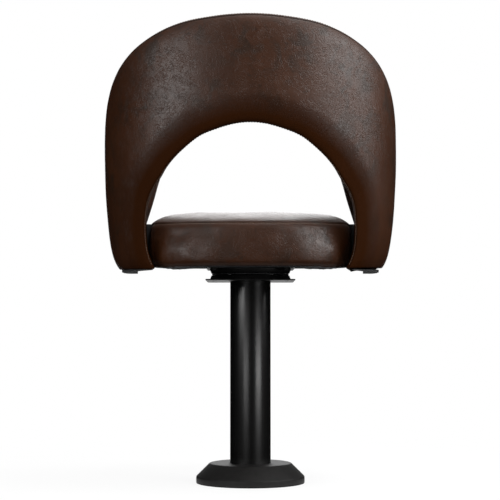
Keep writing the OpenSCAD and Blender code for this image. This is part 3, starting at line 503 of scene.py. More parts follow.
def padded_cover(name, back, way, seed, nodes, hidden_columns=12):
    """A padded half of the back: leather and padding from its face down to the frame."""
    face, seam, shade_band = cover_face(back, way, seed)
    under = back.points(way, BACK.frame / 2 + LAYER_GAP)
    some = np.linspace(under.shape[1] - 1, 0, hidden_columns).astype(int)
    hidden = np.ones((len(seam), hidden_columns))
    # Painted shade darkens the leather near its seams and along the window
    facts = {"seam": np.concatenate([np.exp(-seam / BACK_SHADE), hidden], 1),
             "shade_band": np.concatenate([shade_band, 0 * hidden], 1)}
    cover = carried(name, np.concatenate([face, under[:, some]], 1), facts=facts)
    dress(cover, *nodes)
    return cover


# Columns across a strip, closest together at its seams
STRIP_SHARES = np.array([0, 0.012, 0.03, 0.06, 0.11, 0.18, 0.26, 0.34, 0.42, 0.5, 0.58, 0.66,
                         0.74, 0.82, 0.89, 0.94, 0.97, 0.988, 1])


def strip_face(back, col, bulge, seed, place=None, step=0.4):
    """Outer face of a strip from seam to seam, less a rounded edge at both. place picks a
    line of it, at a distance in mm from the rear seam, or from the inner one if negative,
    with a point a step to each side of it."""
    walls = edge_walls(back, col)
    width = np.linalg.norm(walls[1] - walls[0], axis=-1)[:, None]
    start = window_seam(back)[:, None] if col else np.zeros_like(width)
    if place is None:
        s = start + (1 - start) * STRIP_SHARES[None, :]
    else:
        s = (start if place > 0 else 1) + (place + np.array([[-step, 0, step]])) / width
    seam = np.minimum(s - start, 1 - s) * width
    rise = strip_rise(s, bulge)
    rise = rise - lip((s - start) * width, SEAM_LIP) - lip((1 - s) * width, SEAM_LIP)
    rise = rise + puckers(back.along[:, :1], s * width, seam, height=0.1, length=13, fade=7,
                          seed=seed)
    return along_edge(walls, s, rise), walls[2], seam, start


def edge_strip(name, back, col, bulge, seed, node):
    """The leather strip between the two covers along one edge of the back. The window's
    strip has the colour of the window's band of painted shade."""
    face, n, seam, start = strip_face(back, col, bulge, seed)
    w0, w3 = edge_walls(back, col)[:2]
    under = np.stack([w3, w3 + (w0 - w3) * (1 - start) / 2, w3 + (w0 - w3) * (1 - start)], 1)
    sections = np.concatenate([face, under + 0.2 * n[:, None]], 1)
    # Painted shade darkens the strip near its seams
    near = np.concatenate([np.exp(-seam / BACK_SHADE), np.ones((len(seam), 3))], 1)
    shade_band = np.full_like(near, 1.0 if col else 0.0)
    strip = carried(name, sections, facts={"seam": near, "shade_band": shade_band})
    return dress(strip, node)


# Stitches: the places of five sections along one in shares of its length, and how high they
# lie and how thick they are in shares of the thread's radius
STITCH = Sizes(pitch=4.9, length=3.7, radius=0.36, sides=6)
STITCH_AT_SHARES = np.array([-0.5, -0.3, 0.0, 0.3, 0.5])
STITCH_RISE_SHARES = np.array([-0.5, 0.55, 0.85, 0.55, -0.5])
STITCH_THIN_SHARES = np.array([0.6, 1, 1, 1, 0.6])


def stitch_row(name, line, normal, ring=False):
    """Thread stitches along a line on the leather. Each is a short tube whose ends dip into
    the leather: its middle stands 0.85 of the thread's radius high."""
    if ring:
        line, normal = np.vstack([line, line[:1]]), np.vstack([normal, normal[:1]])
    far = travelled(np.linalg.norm(np.diff(line, axis=0), axis=1))
    count = int(far[-1] / STITCH.pitch)
    middle = (np.arange(count) + 0.5) * far[-1] / count
    at = middle[:, None] + STITCH_AT_SHARES[None, :] * STITCH.length
    pos, up = (np.stack([np.interp(at, far, course[:, k]) for k in range(3)], -1)
               for course in (line, normal))
    up = unit(up)
    side = unit(np.cross(np.gradient(pos, axis=1), up))
    r, sides = STITCH.radius, STITCH.sides
    turn = np.linspace(0, 2 * np.pi, sides, endpoint=False)
    thin = STITCH_THIN_SHARES[None, :, None, None]
    around = up[:, :, None] * np.cos(turn)[:, None] + side[:, :, None] * np.sin(turn)[:, None]
    pts = (pos + up * (STITCH_RISE_SHARES * r)[None, :, None])[:, :, None] + r * thin * around
    local = grid_quads(len(STITCH_AT_SHARES), sides, False, True).reshape(-1, 4)
    size = len(STITCH_AT_SHARES) * sides
    base = np.arange(count) * size
    quads = (base[:, None, None] + local[None]).reshape(-1, 4)
    caps = [[b + k for k in range(sides - 1, -1, -1)] for b in base]
    caps += [[b + size - sides + k for k in range(sides)] for b in base]
    return dress(make_piece(name, pts, quads, caps), look=THREAD_LOOK)


# Shape of the seat
def seat_turns(count, fine=6001):
    """Superellipse parameters of points that lie evenly along the seat's outline."""
    t = np.linspace(0, 2 * np.pi, fine)
    x, y = seat_outline(t, 0)
    far = travelled(np.hypot(np.diff(x), np.diff(y)))
    return np.interp(np.arange(count) * far[-1] / count, far, t), far[-1] / count


def seat_outline(t, inset, share=1.0):
    """x = s (w - in) cos^(2/n) t, y = y0 + s (l - in) sin^(2/n) t, with the signs kept."""
    def bend(c):
        return np.sign(c) * np.abs(c) ** (2 / SEAT_POWER)
    half_l = SEAT.length / 2
    return (share * (SEAT.half_w - inset) * bend(np.cos(t)),
            half_l - SEAT.rear + share * (half_l - inset) * bend(np.sin(t)))


def filled(x, y, z):
    """The seat's points with the padding's own rear: r grows by its change times
    (r / r at the outline)^2."""
    a, r = np.degrees(np.arctan2(x, -y)), np.hypot(x, y)
    grow = 1 + rear_change(a, z) * r / seat_r(np.abs(a)) ** 2
    return x * grow, y * grow, z


def on_seat(x, y, z):
    """From the seat's own frame to the chair's: turned about X by the tilt, then lifted."""
    x, y, z = filled(*np.broadcast_arrays(x, y, z))
    c, s = math.cos(math.radians(SEAT.tilt)), math.sin(math.radians(SEAT.tilt))
    return np.stack([x, c * y - s * z, s * y + c * z + SEAT.board_z], -1)


def smooth_table(table, per):
    """Catmull-Rom curve through the rows of a table, with so many points a step."""
    rows = np.vstack([2 * table[0] - table[1], table, 2 * table[-1] - table[-2]])
    k = np.minimum(np.arange(per * (len(table) - 1) + 1) // per, len(table) - 2)
    t = (np.arange(len(k)) / per - k)[:, None]
    return smooth_step(rows[k], rows[k + 1], rows[k + 2], rows[k + 3], t)


# Side of the seat: the gap at its seam, the nearly straight piece below it, and the pleats
# of the turned leather, which lies at insets from the outline and so far below the board
SIDE = Sizes(seam_gap=0.4, straight=4.5, lean=0.1, under=22.0, pleat=0.55, sag=2.0, sag_more=0.5)
SIDE_FINE = np.array([[0.0, -3.2], [0.0, -2.2], [0.0, -1.4], [0.0, -0.7], [0.0, 0.0]])
SIDE_WRAP = [[SEAT.wrap, 0.0], [14, 0.1], [7, 0.0]]


def seat_side(t, step):
    """Leather round the side: a profile from under the board up to the seam. Under the four
    corners the turned leather lies in pleats about 13 mm apart and hangs 2 mm lower."""
    skin = LEATHER + LAYER_GAP
    table = np.array([[inset, -skin - low] for inset, low in SIDE_WRAP]
                     + [[SEAT.draw_in * i, SEAT.seam_h * r]
                        for i, r in zip(SIDE_IN_SHARES, SIDE_RISE_SHARES)])
    table[-1, 1] -= SIDE.seam_gap
    top, low = table[-1, 1], SEAT.seam_h - SIDE.straight
    prof = smooth_table(table, 5)
    prof = np.vstack([prof[prof[:, 1] < low], SIDE_FINE + [SEAT.draw_in, top]])
    inset, z = prof[:, 0][None, :], prof[:, 1][None, :]
    inset = np.where(z > low, SEAT.draw_in - SIDE.lean * (top - z), inset)
    tt, far = t[:, None], (np.arange(len(t)) * step)[:, None]
    under = np.clip(1 - (z + skin) / SIDE.under, 0, 1) ** 2
    corner = np.sin(2 * tt) ** 4
    pleat = ripple(far, inset * 0.15, 13, 31)
    seam = top - z
    inset = inset + lip(seam, SEAT_LIP) + SIDE.pleat * under * corner * pleat
    inset = inset - 0.45 * (1 - np.exp(-seam / 16)) * (1 - under) * ripple(far, z, 60, 32)
    inset = inset + puckers(far, z, seam, height=0.25, length=15, fade=9, seed=33)
    drop = under * corner * (SIDE.sag + SIDE.sag_more * pleat)
    x, y = seat_outline(tt, inset)
    return on_seat(x, y, z - drop), on_seat(*seat_outline(tt, inset + LEATHER),
                                            z - drop * 0.6 + 0.9 * (z < 1)), seam


def seat_top(t, step):
    """Crowned top from its middle out to the seam: z = seam + crown (1 - 0.12 s^2
    - 0.88 s^n), where n is 5 at the rear and 9 at the sides, sunk a little by shallow
    waves, and with puckers along the seam."""
    near = np.array([0, 0.35, 0.8, 1.3, 2, 3, 4.5, 6.5, 9, 12, 15.5, 19.5, 24, 29, 35])
    reach = SEAT.half_w - SEAT.draw_in
    s = np.concatenate([np.linspace(0.015, 0.81, 34), 1 - near[::-1] / reach])[None, :]
    tt, far = t[:, None], (np.arange(len(t)) * step)[:, None]
    d = (1 - s) * reach
    x, y = seat_outline(tt, SEAT.draw_in, s)
    edge = s ** (5 + 4 * np.cos(tt) ** 2)
    z = SEAT.seam_h + SEAT.crown_h * (1 - 0.12 * s ** 2 - 0.88 * edge)
    z = z - lip(d, SEAT_LIP) - 0.5 * (1 - np.exp(-d / 25)) * (1 + ripple(x, y, 85, 41))
    z = z + puckers(far * s, d, d, height=0.28, length=15, fade=10, seed=42)
    return x, y, z, d


# Turned metal
def rounded(profile, r, steps=4):
    """A closed profile with its corners rounded: each corner point is replaced by an arc
    from r before it to r after it, as the curve (1-t)^2 a + 2 t (1-t) b + t^2 c."""
    profile = np.asarray(profile, float)
    r = np.broadcast_to(r, len(profile))
    out = []
    for i, b in enumerate(profile):
        a, c = profile[i - 1], profile[(i + 1) % len(profile)]
        la, lc = np.linalg.norm(a - b), np.linalg.norm(c - b)
        k = min(r[i], 0.45 * la, 0.45 * lc)
        a, c = b + (a - b) * k / la, b + (c - b) * k / lc
        t = np.linspace(0, 1, steps + 1)[:, None]
        out.append((1 - t) ** 2 * a + 2 * t * (1 - t) * b + t ** 2 * c)
    return np.vstack(out)


def turned(name, profile, node, body, slot, count, look=None):
    """A closed profile of (radius, height) carried round the upright axis."""
    turn = np.linspace(0, 2 * np.pi, count, endpoint=False)
    r, z = profile[:, :1], profile[:, 1:]
    rings = np.stack([r * np.cos(turn), r * np.sin(turn), z + 0 * turn], -1)
    return dress(round_piece(name, rings), node, body=body, slot=slot, look=look)


def tube_profile(inner, outer, low, top):
    """Corners of a tube's wall as (radius, height)."""
    return [[outer, low], [outer, top], [inner, top], [inner, low]]


# Materials
def rgba(shade):
    """Four numbers of a colour from its red, green and blue, or from one grey."""
    return (*([shade] * 3 if isinstance(shade, (int, float)) else shade), 1)


class Nodes:
    """The nodes of a material or of the world. A number or colour is set on a node's own
    socket, and a socket is linked to it."""

    def __init__(self, owner, output):
        self.owner = owner
        owner.use_nodes = True
        self.tree = owner.node_tree
        self.tree.nodes.clear()
        self.out = self.node(output)

    def node(self, kind, inputs=None, **settings):
        made = self.tree.nodes.new("ShaderNode" + kind)
        for key, value in settings.items():
            setattr(made, key, value)
        for key, value in (inputs or {}).items():
            socket = made.inputs[key]
            if isinstance(value, bpy.types.NodeSocket):
                self.tree.links.new(value, socket)
            else:
                socket.default_value = rgba(value) if socket.type == "RGBA" else value
        return made

    def math(self, how, a, b=0.0):
        return self.node("Math", {0: a, 1: b}, operation=how).outputs[0]

    def seen(self):
        """1 for what the camera, a reflection or a clear piece shows, and 0 for light."""
        path = self.node("LightPath").outputs
        shown = self.math("MAXIMUM", path["Is Camera Ray"], path["Is Glossy Ray"])
        return self.math("MAXIMUM", shown, path["Is Transmission Ray"])

    def surface(self, shader):
        self.tree.links.new(shader.outputs[0], self.out.inputs["Surface"])
        return self.owner


class Shader(Nodes):
    """A material, patterned in the piece's own coordinates in metres."""

    def __init__(self, name):
        super().__init__(bpy.data.materials.new(name), "OutputMaterial")
        self.place = self.node("TexCoord").outputs["Object"]

    def ramp(self, value, *stops):
        made = self.node("ValToRGB", {"Fac": value})
        points = made.color_ramp.elements
        while len(points) < len(stops):
            points.new(0.5)
        for point, (at, shade) in zip(points, stops):
            point.position = at
            point.color = rgba(shade)
        return made.outputs["Color"]

    def noise(self, scale, detail=3.0, rough=0.5, warp=0.0, place=None):
        made = self.node("TexNoise", {"Vector": place or self.place, "Scale": scale,
                                      "Detail": detail, "Roughness": rough,
                                      "Distortion": warp})
        return made.outputs["Fac"]

    def mix(self, share, a, b, how="MIX"):
        return self.node("Mix", {0: share, 6: a, 7: b}, data_type="RGBA",
                         blend_type=how).outputs[2]

    def between(self, value, dark, pale):
        return self.mix(self.ramp(value, (0.35, 0.0), (0.65, 1.0)), dark, pale)

    def bump(self, height, depth, strength, below=None):
        inputs = {"Height": height, "Distance": depth, "Strength": strength}
        if below is not None:
            inputs["Normal"] = below
        return self.node("Bump", inputs).outputs["Normal"]

    def finish(self, colour, **inputs):
        if "Specular" in inputs:
            inputs["Specular IOR Level"] = inputs.pop("Specular")
        return self.surface(self.node("BsdfPrincipled", {"Base Color": colour, **inputs}))


# Leather: the ground from its darkest to its palest brown, the patches and specks on it, the
# painted shade of the band round the window, and the painted shade at the seams
HIDE = dict(ground=(0.0350, 0.0105, 0.0027), pale=(0.0450, 0.0135, 0.0035),
            patch=(0.0225, 0.0098, 0.0045), speck=(0.0170, 0.0075, 0.0032),
            shade_band=(0.0250, 0.0072, 0.0016), seam=(0.0130, 0.0045, 0.0015))
# Heading and lean of each family of creases in radians, and how many of its waves a metre has
CREASES = ((0.35, 0.3, 190.0), (0.95, -0.5, 230.0), (1.55, 0.6, 210.0), (2.05, -0.2, 260.0),
           (2.75, 0.4, 220.0))
CREASE_LENGTH = 4.5


def leather_colour(m, shade_band, seam):
    """A red-brown ground with cloudy darker patches and specks, and painted shade along the
    window's rolled edge, at the seams and where the leather is gathered under the board."""
    ground = m.between(m.noise(9.0, 3.0), HIDE["ground"], HIDE["pale"])
    patches = m.ramp(m.noise(30.0, 6.0, 0.62, 0.7), (0.47, 0.0), (0.57, 1.0))
    cloudy = m.ramp(m.noise(11.0, 2.0), (0.42, 0.15), (0.60, 0.9))
    colour = m.mix(m.math("MULTIPLY", patches, cloudy), ground, HIDE["patch"])
    specks = m.ramp(m.noise(150.0, 3.0, 0.6, 0.4), (0.60, 0.0), (0.68, 0.5))
    colour = m.mix(specks, colour, HIDE["speck"])
    # Painted shade along the window's rolled edge, then at the seams
    colour = m.mix(m.ramp(shade_band, (0.0, 0.0), (0.25, 0.55), (1.0, 0.9)), colour, HIDE["shade_band"])
    return m.mix(m.ramp(seam, (0.78, 0.0), (0.95, 0.30), (1.0, 0.55)), colour, HIDE["seam"])


def leather_creases(m):
    """Fine creases: lines where a noise drawn out one way crosses 0.5, in several headings,
    each broken off by a coarser noise. The place wavers by up to 9 mm."""
    waver = m.node("TexNoise", {"Vector": m.place, "Scale": 38.0, "Detail": 2.0})
    waver = m.node("VectorMath", {0: waver.outputs["Color"], 1: (0.009, 0.009, 0.009)},
                   operation="MULTIPLY")
    place = m.node("VectorMath", {0: m.place, 1: waver.outputs[0]}, operation="ADD").outputs[0]
    crease = 0.0
    for turn, lean, fine in CREASES:
        lie = m.node("Mapping", {"Vector": place, "Rotation": (lean, turn, lean),
                                 "Scale": (1 / fine, 1 / fine, CREASE_LENGTH / fine)},
                     vector_type="TEXTURE").outputs[0]
        off = m.math("ABSOLUTE", m.math("SUBTRACT", m.noise(1.0, 1.0, 0.4, 0.0, lie), 0.5))
        lines = m.ramp(off, (0.0, 1.0), (0.036, 0.0))
        here = m.ramp(m.noise(fine / 5, 1.0), (0.44, 0.0), (0.60, 1.0))
        crease = m.math("MAXIMUM", crease, m.math("MULTIPLY", lines, here))
    return crease


def leather():
    """Two-tone brown leather with soft waves, fine creases and a pebbled grain. Two facts of a
    mesh say how near a seam and how far in the window's band a point is; both darken the
    colour with painted shade."""
    m = Shader("brown leather")
    shade_band, seam = (m.node("Attribute", attribute_name=fact).outputs["Fac"]
                  for fact in ("shade_band", "seam"))
    colour = leather_colour(m, shade_band, seam)
    grain = m.node("TexVoronoi", {"Vector": m.place, "Scale": 820.0}).outputs["Distance"]
    normal = m.bump(m.noise(48.0, 1.0, 0.5), depth=0.0012, strength=0.13)
    normal = m.bump(m.math("SUBTRACT", 1.0, leather_creases(m)), depth=0.0004, strength=0.45,
                    below=normal)
    normal = m.bump(grain, depth=0.00022, strength=0.18, below=normal)
    rough = m.math("ADD", m.math("MULTIPLY", m.noise(70.0, 1.0), 0.06), 0.36)
    rough = m.math("ADD", rough, m.math("MULTIPLY", seam, 0.28))
    shine = m.math("MULTIPLY", m.math("SUBTRACT", 1.05, shade_band), 0.47)
    return m.finish(colour, Roughness=rough, Specular=shine, Normal=normal)


def coated(name, colour, roughness, specular, pebble):
    """Powder coat: one colour with a fine pebbled skin."""
    m = Shader(name)
    tone = m.ramp(m.noise(120.0, 2.0), (0.3, 0.85), (0.7, 1.15))
    return m.finish(m.mix(1.0, colour, tone, "MULTIPLY"), Roughness=roughness,
                    Specular=specular, Normal=m.bump(m.noise(900.0, 2.0), 0.00012, pebble))


def steel(name, colour, roughness):
    """Plain or plated steel with faint fine scratches round it."""
    m = Shader(name)
    lines = m.node("Mapping", {"Vector": m.place, "Scale": (40.0, 40.0, 900.0)}).outputs[0]
    fine = m.noise(1.0, 3.0, place=lines)
    rough = m.math("ADD", m.math("MULTIPLY", fine, 0.12), roughness)
    return m.finish(colour, Metallic=1.0, Roughness=rough, Normal=m.bump(fine, 0.00005, 0.4))


def wood(name, dark, pale, roughness=0.6, stretch=(4.0, 90.0, 90.0)):
    """Wood: noise between two colours, stretched along the grain, here along X."""
    m = Shader(name)
    along = m.node("Mapping", {"Vector": m.place, "Scale": stretch}).outputs[0]
    fibre = m.noise(3.0, 5.0, 0.6, 0.3, along)
    return m.finish(m.between(fibre, dark, pale), Roughness=roughness,
                    Normal=m.bump(fibre, 0.0002, 0.3))


def mottled(name, dark, pale, scale, roughness, bump):
    """A dull stuff such as cloth, foam, rubber or plastic: fine noise between two colours."""
    m = Shader(name)
    fine = m.noise(scale, 4.0, 0.6)
    return m.finish(m.between(fine, dark, pale), Roughness=roughness, Specular=0.2,
                    Normal=m.bump(fine, 0.0002, bump))


def thread():
    """Waxed thread, lighter than the leather: partly its own colour, partly a painted highlight
    on the stitches.
    """
    m = Shader("brown thread")
    twist = m.noise(1500.0, 2.0)
    return m.finish(m.mix(twist, (0.150, 0.105, 0.080), (0.290, 0.215, 0.170)),
                    Roughness=0.5, Specular=0.3)


LEATHER_LOOK = leather()
THREAD_LOOK = thread()
BLACK_COAT = (0.0040, 0.0038, 0.0038)
COLUMN_LOOK = coated("column powder coat", BLACK_COAT, 0.27, 0.95, 0.2)
LOOKS = {
    "black_powder_coat": coated("black powder coat", BLACK_COAT, 0.45, 0.7, 0.25),
    "cover_powder_coat": coated("cover powder coat", (0.0105, 0.0098, 0.0095), 0.58, 0.30,
                                0.15),
    "seal_rubber": mottled("ring rubber", 0.006, 0.010, 400.0, 0.7, 0.2),
    "zinc_steel": steel("zinc plate", (0.52, 0.53, 0.54), 0.32),
    "bearing_steel": steel("ground steel", (0.62, 0.63, 0.65), 0.15),
    "cage_plastic": mottled("cage plastic", (0.024, 0.024, 0.026), (0.034, 0.034, 0.037),
                            500.0, 0.45, 0.1),
    "bush_bronze": steel("bush bronze", (0.45, 0.28, 0.11), 0.30),
    "black_steel": coated("black oxide", 0.010, 0.38, 0.25, 0.1),
    "wedge_plywood": wood("stained plywood", (0.008, 0.007, 0.006), (0.016, 0.013, 0.011)),
    "plywood": wood("plywood", (0.36, 0.24, 0.13), (0.52, 0.37, 0.21)),
    "hardwood": wood("beech", (0.38, 0.24, 0.13), (0.55, 0.38, 0.23), 0.5, (90.0, 4.0, 90.0)),
    "black_wood": wood("black painted wood", 0.006, 0.010),
    "seat_foam": mottled("foam", (0.60, 0.52, 0.36), (0.72, 0.64, 0.46), 700.0, 0.9, 0.6),
    "brown_leather": LEATHER_LOOK,
    "under_cloth": mottled("under cloth", (0.028, 0.028, 0.031), (0.046, 0.046, 0.049),
                           900.0, 0.9, 0.5),
    "cap_plastic": mottled("cap plastic", (0.038, 0.038, 0.039), (0.050, 0.050, 0.051),
                           600.0, 0.75, 0.15),
}

# Pieces of wood, steel, rubber and plastic, as the frame has them
shown_slots = {s["node"]: s["material_slot"] for s in frame["record"]["subparts"]}
for node_name, node in frame["nodes"].items():
    node.data.materials.clear()
    node.data.materials.append(LOOKS[shown_slots[node_name]])
# Punched, sawn and moulded pieces keep a small broken edge
BROKEN_EDGES = {"column_head": 0.35, "seat_plate": 0.35, "plate_screws": 0.3,
                "leg_cap_left": 0.35, "leg_cap_right": 0.35, "tilt_wedge": 0.3}
for node_name, width in BROKEN_EDGES.items():
    finishing = frame["nodes"][node_name].modifiers
    finishing.new("joined", "WELD").merge_threshold = 0.00001
    edge = finishing.new("broken edge", "BEVEL")
    edge.width, edge.segments, edge.limit_method = width * MM, 2, "ANGLE"
    edge.angle_limit = math.radians(35)

# Covers and strips of the back, with their stitches
back = Back(half=230, field=24)
padded_cover("outer_cover", back, 1, 11, ["outer_panel", "outer_foam"])
padded_cover("inner_cover", back, -1, 21, ["inner_panel", "inner_foam"])
STRIPS = (("top", 0, BACK.edge_bulge, 51), ("window", -1, BACK.window_bulge, 61))
for strip_name, col, bulge, seed in STRIPS:
    edge_strip(f"{strip_name}_strip", back, col, bulge, seed, f"{strip_name}_border")

SEAM_TO_STITCH = 3.6
STITCH_ENDS = slice(3, -3)
for strip_name, col, bulge, seed in STRIPS:
    for side_name, place in (("outer", SEAM_TO_STITCH), ("inner", -SEAM_TO_STITCH)):
        face, away = strip_face(back, col, bulge, seed, place)[:2]
        normal = facing(grid_normals(face)[:, 1], away)
        stitch_row(f"{strip_name}_{side_name}_stitches", face[STITCH_ENDS, 1],
                   normal[STITCH_ENDS])

# Leather on the side of the seat, with painted shade at its seam and where it is gathered under
# the board
UNDER_SHADE_FROM, UNDER_SHADE_OVER = 70, 5
turns, turn_step = seat_turns(420)
side_out, side_in, side_seam = seat_side(turns, turn_step)
sections = np.concatenate([side_out, side_in[:, ::-1]], 1)
near = np.exp(-side_seam / SEAT_SHADE) + ease((side_seam - UNDER_SHADE_FROM) / UNDER_SHADE_OVER)
near = np.broadcast_to(near, side_out.shape[:2])
near = np.concatenate([near, np.ones_like(near)], 1)
side_cover = carried("seat_side_cover", sections, True, {"seam": near, "shade_band": near * 0})
dress(side_cover, "seat_border")

# Seat cushion: its crowned top, then rings of (inset, height over the board) down its side,
# and shares of the outline across its flat bottom
CUSHION_LOW = (5.0, 15.4)
CUSHION_SIDE = ((SEAT.draw_in + 2.6, 71.6), (6.2, 54.0), (3.4, 38.0), (2.8, 22.0),
                CUSHION_LOW)
CUSHION_BOTTOM_SHARES = (0.6, 0.2)
top_x, top_y, top_z, top_d = seat_top(turns, turn_step)
below = [on_seat(*seat_outline(turns, inset), z) for inset, z in CUSHION_SIDE]
below += [on_seat(*seat_outline(turns, CUSHION_LOW[0], share), CUSHION_LOW[1])
          for share in CUSHION_BOTTOM_SHARES]
rings = np.concatenate([np.moveaxis(on_seat(top_x, top_y, top_z), 0, 1), below])
# Painted shade darkens the cushion's top near its seam
near = np.broadcast_to(np.exp(-top_d / SEAT_SHADE), top_x.shape).T
near = np.concatenate([near, np.ones((len(below), len(turns)))])
cushion = round_piece("seat_cushion", rings, {"seam": near, "shade_band": near * 0}, True)
dress(cushion, "seat_top_panel", "seat_foam")

# Stitches round the seat, on the side's line nearest to 3.2 mm under its seam
SEAT_STITCH_DROP = 3.2
k = int(np.argmin(np.abs(side_seam[0] - SEAT_STITCH_DROP)))
line = side_out[:, k]
normal = facing(grid_normals(side_out, True)[:, k], (line - line.mean(0)) * [1, 1, 0])
stitch_row("seat_stitches", line, normal, True)

# Cloth under the seat: from a square hole round the swivel's plate out to the board's edge
PLATE_W, HOLE_GAP, EDGE_INSET = 165, 2.6, 12
CLOTH = Sizes(face=2.1, sag=0.3, thick=0.8)
hole = (PLATE_W + 2 * HOLE_GAP) / 2
heading = np.linspace(0, 2 * np.pi, 160, endpoint=False)
square = hole / np.maximum(np.abs(np.cos(heading)), np.abs(np.sin(heading)))
edge_x, edge_y = seat_outline(seat_turns(4000)[0], EDGE_INSET)
edge_angle = np.unwrap(np.arctan2(edge_y, edge_x))
edge_r = np.interp(heading, edge_angle, np.hypot(edge_x, edge_y), period=2 * np.pi)
share = np.linspace(0, 1, 15)[None, :]
r = square[:, None] * (1 - share) + edge_r[:, None] * share
x, y = r * np.cos(heading)[:, None], r * np.sin(heading)[:, None]
z = -CLOTH.face - CLOTH.sag * np.sin(np.pi * share) * (1 + ripple(x, y, 90, 71))
cloth_low, cloth_high = on_seat(x, y, z - CLOTH.thick), on_seat(x, y, z)
under_cloth = carried("under_cloth", np.concatenate([cloth_low, cloth_high[:, ::-1]], 1), True)
dress(under_cloth, "seat_dust_cover", slot="under_cloth")

# Column, base cover and the ring under its rim
RIM = Sizes(r=101.6, inner=100.1, low=1.5, top=12, inner_top=11.3)
COVER = Sizes(r=76.2, inner=75.6, bore=38.4, top=37, under=35.5)
COVER_CORNERS = [0.5, 2.2, 2.4, 0.6, 0.5, 2, 1.5, 0.5]
LATHE_STEPS = 192
wall = tube_profile(inner=35.6, outer=38.1, low=6, top=376.8)
turned("column", rounded(wall, 0.6), "column_tube", "pedestal", "black_powder_coat",
       LATHE_STEPS, COLUMN_LOOK)
wall = [[RIM.r, RIM.low], [RIM.r, RIM.top], [COVER.r, COVER.top], [COVER.bore, COVER.top],
        [COVER.bore, COVER.under], [COVER.inner, COVER.under], [RIM.inner, RIM.inner_top],
        [RIM.inner, RIM.low]]
turned("base", rounded(wall, COVER_CORNERS, 6), "base_cover", "pedestal",
       "cover_powder_coat", LATHE_STEPS)
wall = tube_profile(inner=95.6, outer=101.3, low=0, top=1.5)
turned("base_ring", rounded(wall, 0.3), "base_seal", "pedestal", "seal_rubber", LATHE_STEPS)

# Bearing races
RACE = Sizes(high=8.55, low=4.5, wall=2.0, ball_circle=62, groove_r=4.2, groove_z=10.35)


def race_profile(z0, way):
    """A pressed ring's hat section with a groove of radius 4.2 mm for the balls."""
    top, low, under = RACE.high, RACE.low, RACE.high - RACE.wall
    turn = np.radians(np.linspace(205, 335, 11))
    groove = np.stack([RACE.ball_circle + RACE.groove_r * np.cos(turn),
                       RACE.groove_z + RACE.groove_r * np.sin(turn)], -1)
    groove = groove[groove[:, 1] < top]
    outer = [[77, 0], [73.5, top]]
    inner = [[50, top], [46.5, 0], [48.5, 0], [52, under], [57, under], [59.5, low],
             [64.5, low], [67, under], [71.5, under], [75, 0]]
    profile = np.array(outer + groove[::-1].tolist() + inner)
    return np.stack([profile[:, 0], z0 + way * profile[:, 1]], -1)


for race_name, body, z0, way in (("lower", "pedestal", 379.1, 1), ("upper", "chair", 399.8, -1)):
    turned(f"{race_name}_ring", rounded(race_profile(z0, way), 0.8, 3), f"{race_name}_race",
           body, "black_powder_coat", 144)

# Room: dim grey light, but white where it is seen
world = bpy.data.worlds.new("studio")
bpy.context.scene.world = world
room = Nodes(world, "OutputWorld")
light = room.node("Background", {0: (0.32, 0.32, 0.325), 1: 1.0}).outputs[0]
white = room.node("Background", {0: 1.0, 1: 1.0}).outputs[0]
room.surface(room.node("MixShader", {0: room.seen(), 1: light, 2: white}))


def soft_box(name, azimuth, distance, low, high, width, watts):
    """A tall soft box that faces the chair: azimuth from the camera's side (-Y), metres."""
    data = bpy.data.lights.new(name, "AREA")
    data.shape, data.size, data.size_y, data.energy = "RECTANGLE", width, high - low, watts
    lamp = bpy.data.objects.new(name, data)
    a = math.radians(azimuth)
    lamp.location = (distance * math.sin(a), -distance * math.cos(a), (low + high) / 2)
    lamp.rotation_euler = (math.radians(90), 0, a)
    bpy.context.collection.objects.link(lamp)
    return lamp


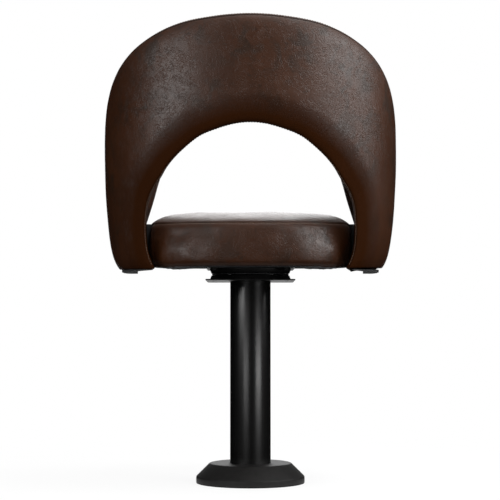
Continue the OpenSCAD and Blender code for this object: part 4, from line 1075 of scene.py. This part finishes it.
# Soft boxes round the chair: azimuth, lower and upper edge, width and watts. The last two
# are low ones, which the column reflects.
RING_DISTANCE = 2.3
RING_LAMPS = ((-51, 0.74, 1.2, 1.20, 14.5), (-30, 1.2, 2.1, 0.55, 2.0),
              (30, 1.2, 2.1, 0.55, 1.2), (44, 1.2, 2.1, 0.55, 3.4), (58, 1.2, 2.1, 0.55, 20.5),
              (72, 1.2, 2.1, 0.55, 12.3), (88, 0.75, 2.1, 0.55, 12.0),
              (-25, 0.10, 0.24, 1.10, 2.5), (46, 0.10, 0.24, 1.20, 4.8))
for number, (azimuth, low, high, width, watts) in enumerate(RING_LAMPS):
    soft_box(f"soft_box_{number + 1}", azimuth, RING_DISTANCE, low, high, width, watts)
soft_box("rear_fill", 4, 3.6, 0.6, 3.4, 3.2, 40.0).visible_glossy = False
soft_box("front_soft_box", 180, 3.6, 0.9, 2.1, 2.0, 12.0)
soft_box("high_front_soft_box", 180, 3.6, 2.1, 4.5, 2.0, 52.0)
top_box = soft_box("top_soft_box", 60, 0.9, 2.5, 3.4, 0.9, 45.0)
top_box.rotation_euler = (0, math.radians(18), 0)

# Black curtain round the camera's side, on the floor there and overhead. Only reflections
# show it: a profile of (radius, height) turned from one side to the other.
CURTAIN_HALF = 164
CURTAIN_PROFILE = ((135, 1.5), (1150, 1.5), (5000, -6), (5000, 4600), (1600, 4600))
heading = np.radians(np.linspace(-CURTAIN_HALF, CURTAIN_HALF, 75))
wall = np.stack([np.stack([r * np.sin(heading), -r * np.cos(heading),
                           np.full_like(heading, z)], -1) for r, z in CURTAIN_PROFILE])
curtain = make_piece("curtain", wall, grid_quads(*wall.shape[:2], False, False))
curtain.data.materials.append(Shader("black curtain").finish(0.002, Roughness=1.0,
                                                             Specular=0.0))
for rays in ("visible_camera", "visible_diffuse", "visible_shadow", "visible_transmission"):
    setattr(curtain, rays, False)

# Pale floor that fades to white, as rings of these radii
FLOOR_RADII = np.array([20.0, 200, 400, 700, 1100])[:, None]
heading = np.linspace(0, 2 * np.pi, 64, endpoint=False)
disc = np.stack([FLOOR_RADII * np.cos(heading), FLOOR_RADII * np.sin(heading),
                 0 * FLOOR_RADII * heading], -1)
floor = make_piece("floor", disc, grid_quads(*disc.shape[:2], False, True), [list(range(64))])
m = Shader("white floor")
far = m.node("VectorMath", {0: m.place}, operation="LENGTH").outputs["Value"]
fade, seen = m.ramp(far, (0.15, 0.88), (0.90, 1.0)), m.seen()
glow = m.node("Emission", {"Color": 1.0, "Strength": 1.0}).outputs[0]
chalk = m.node("BsdfDiffuse", {"Color": m.mix(seen, 0.25, 0.9)}).outputs[0]
m.surface(m.node("MixShader", {0: m.math("MULTIPLY", fade, seen), 1: chalk, 2: glow}))
floor.data.materials.append(m.owner)
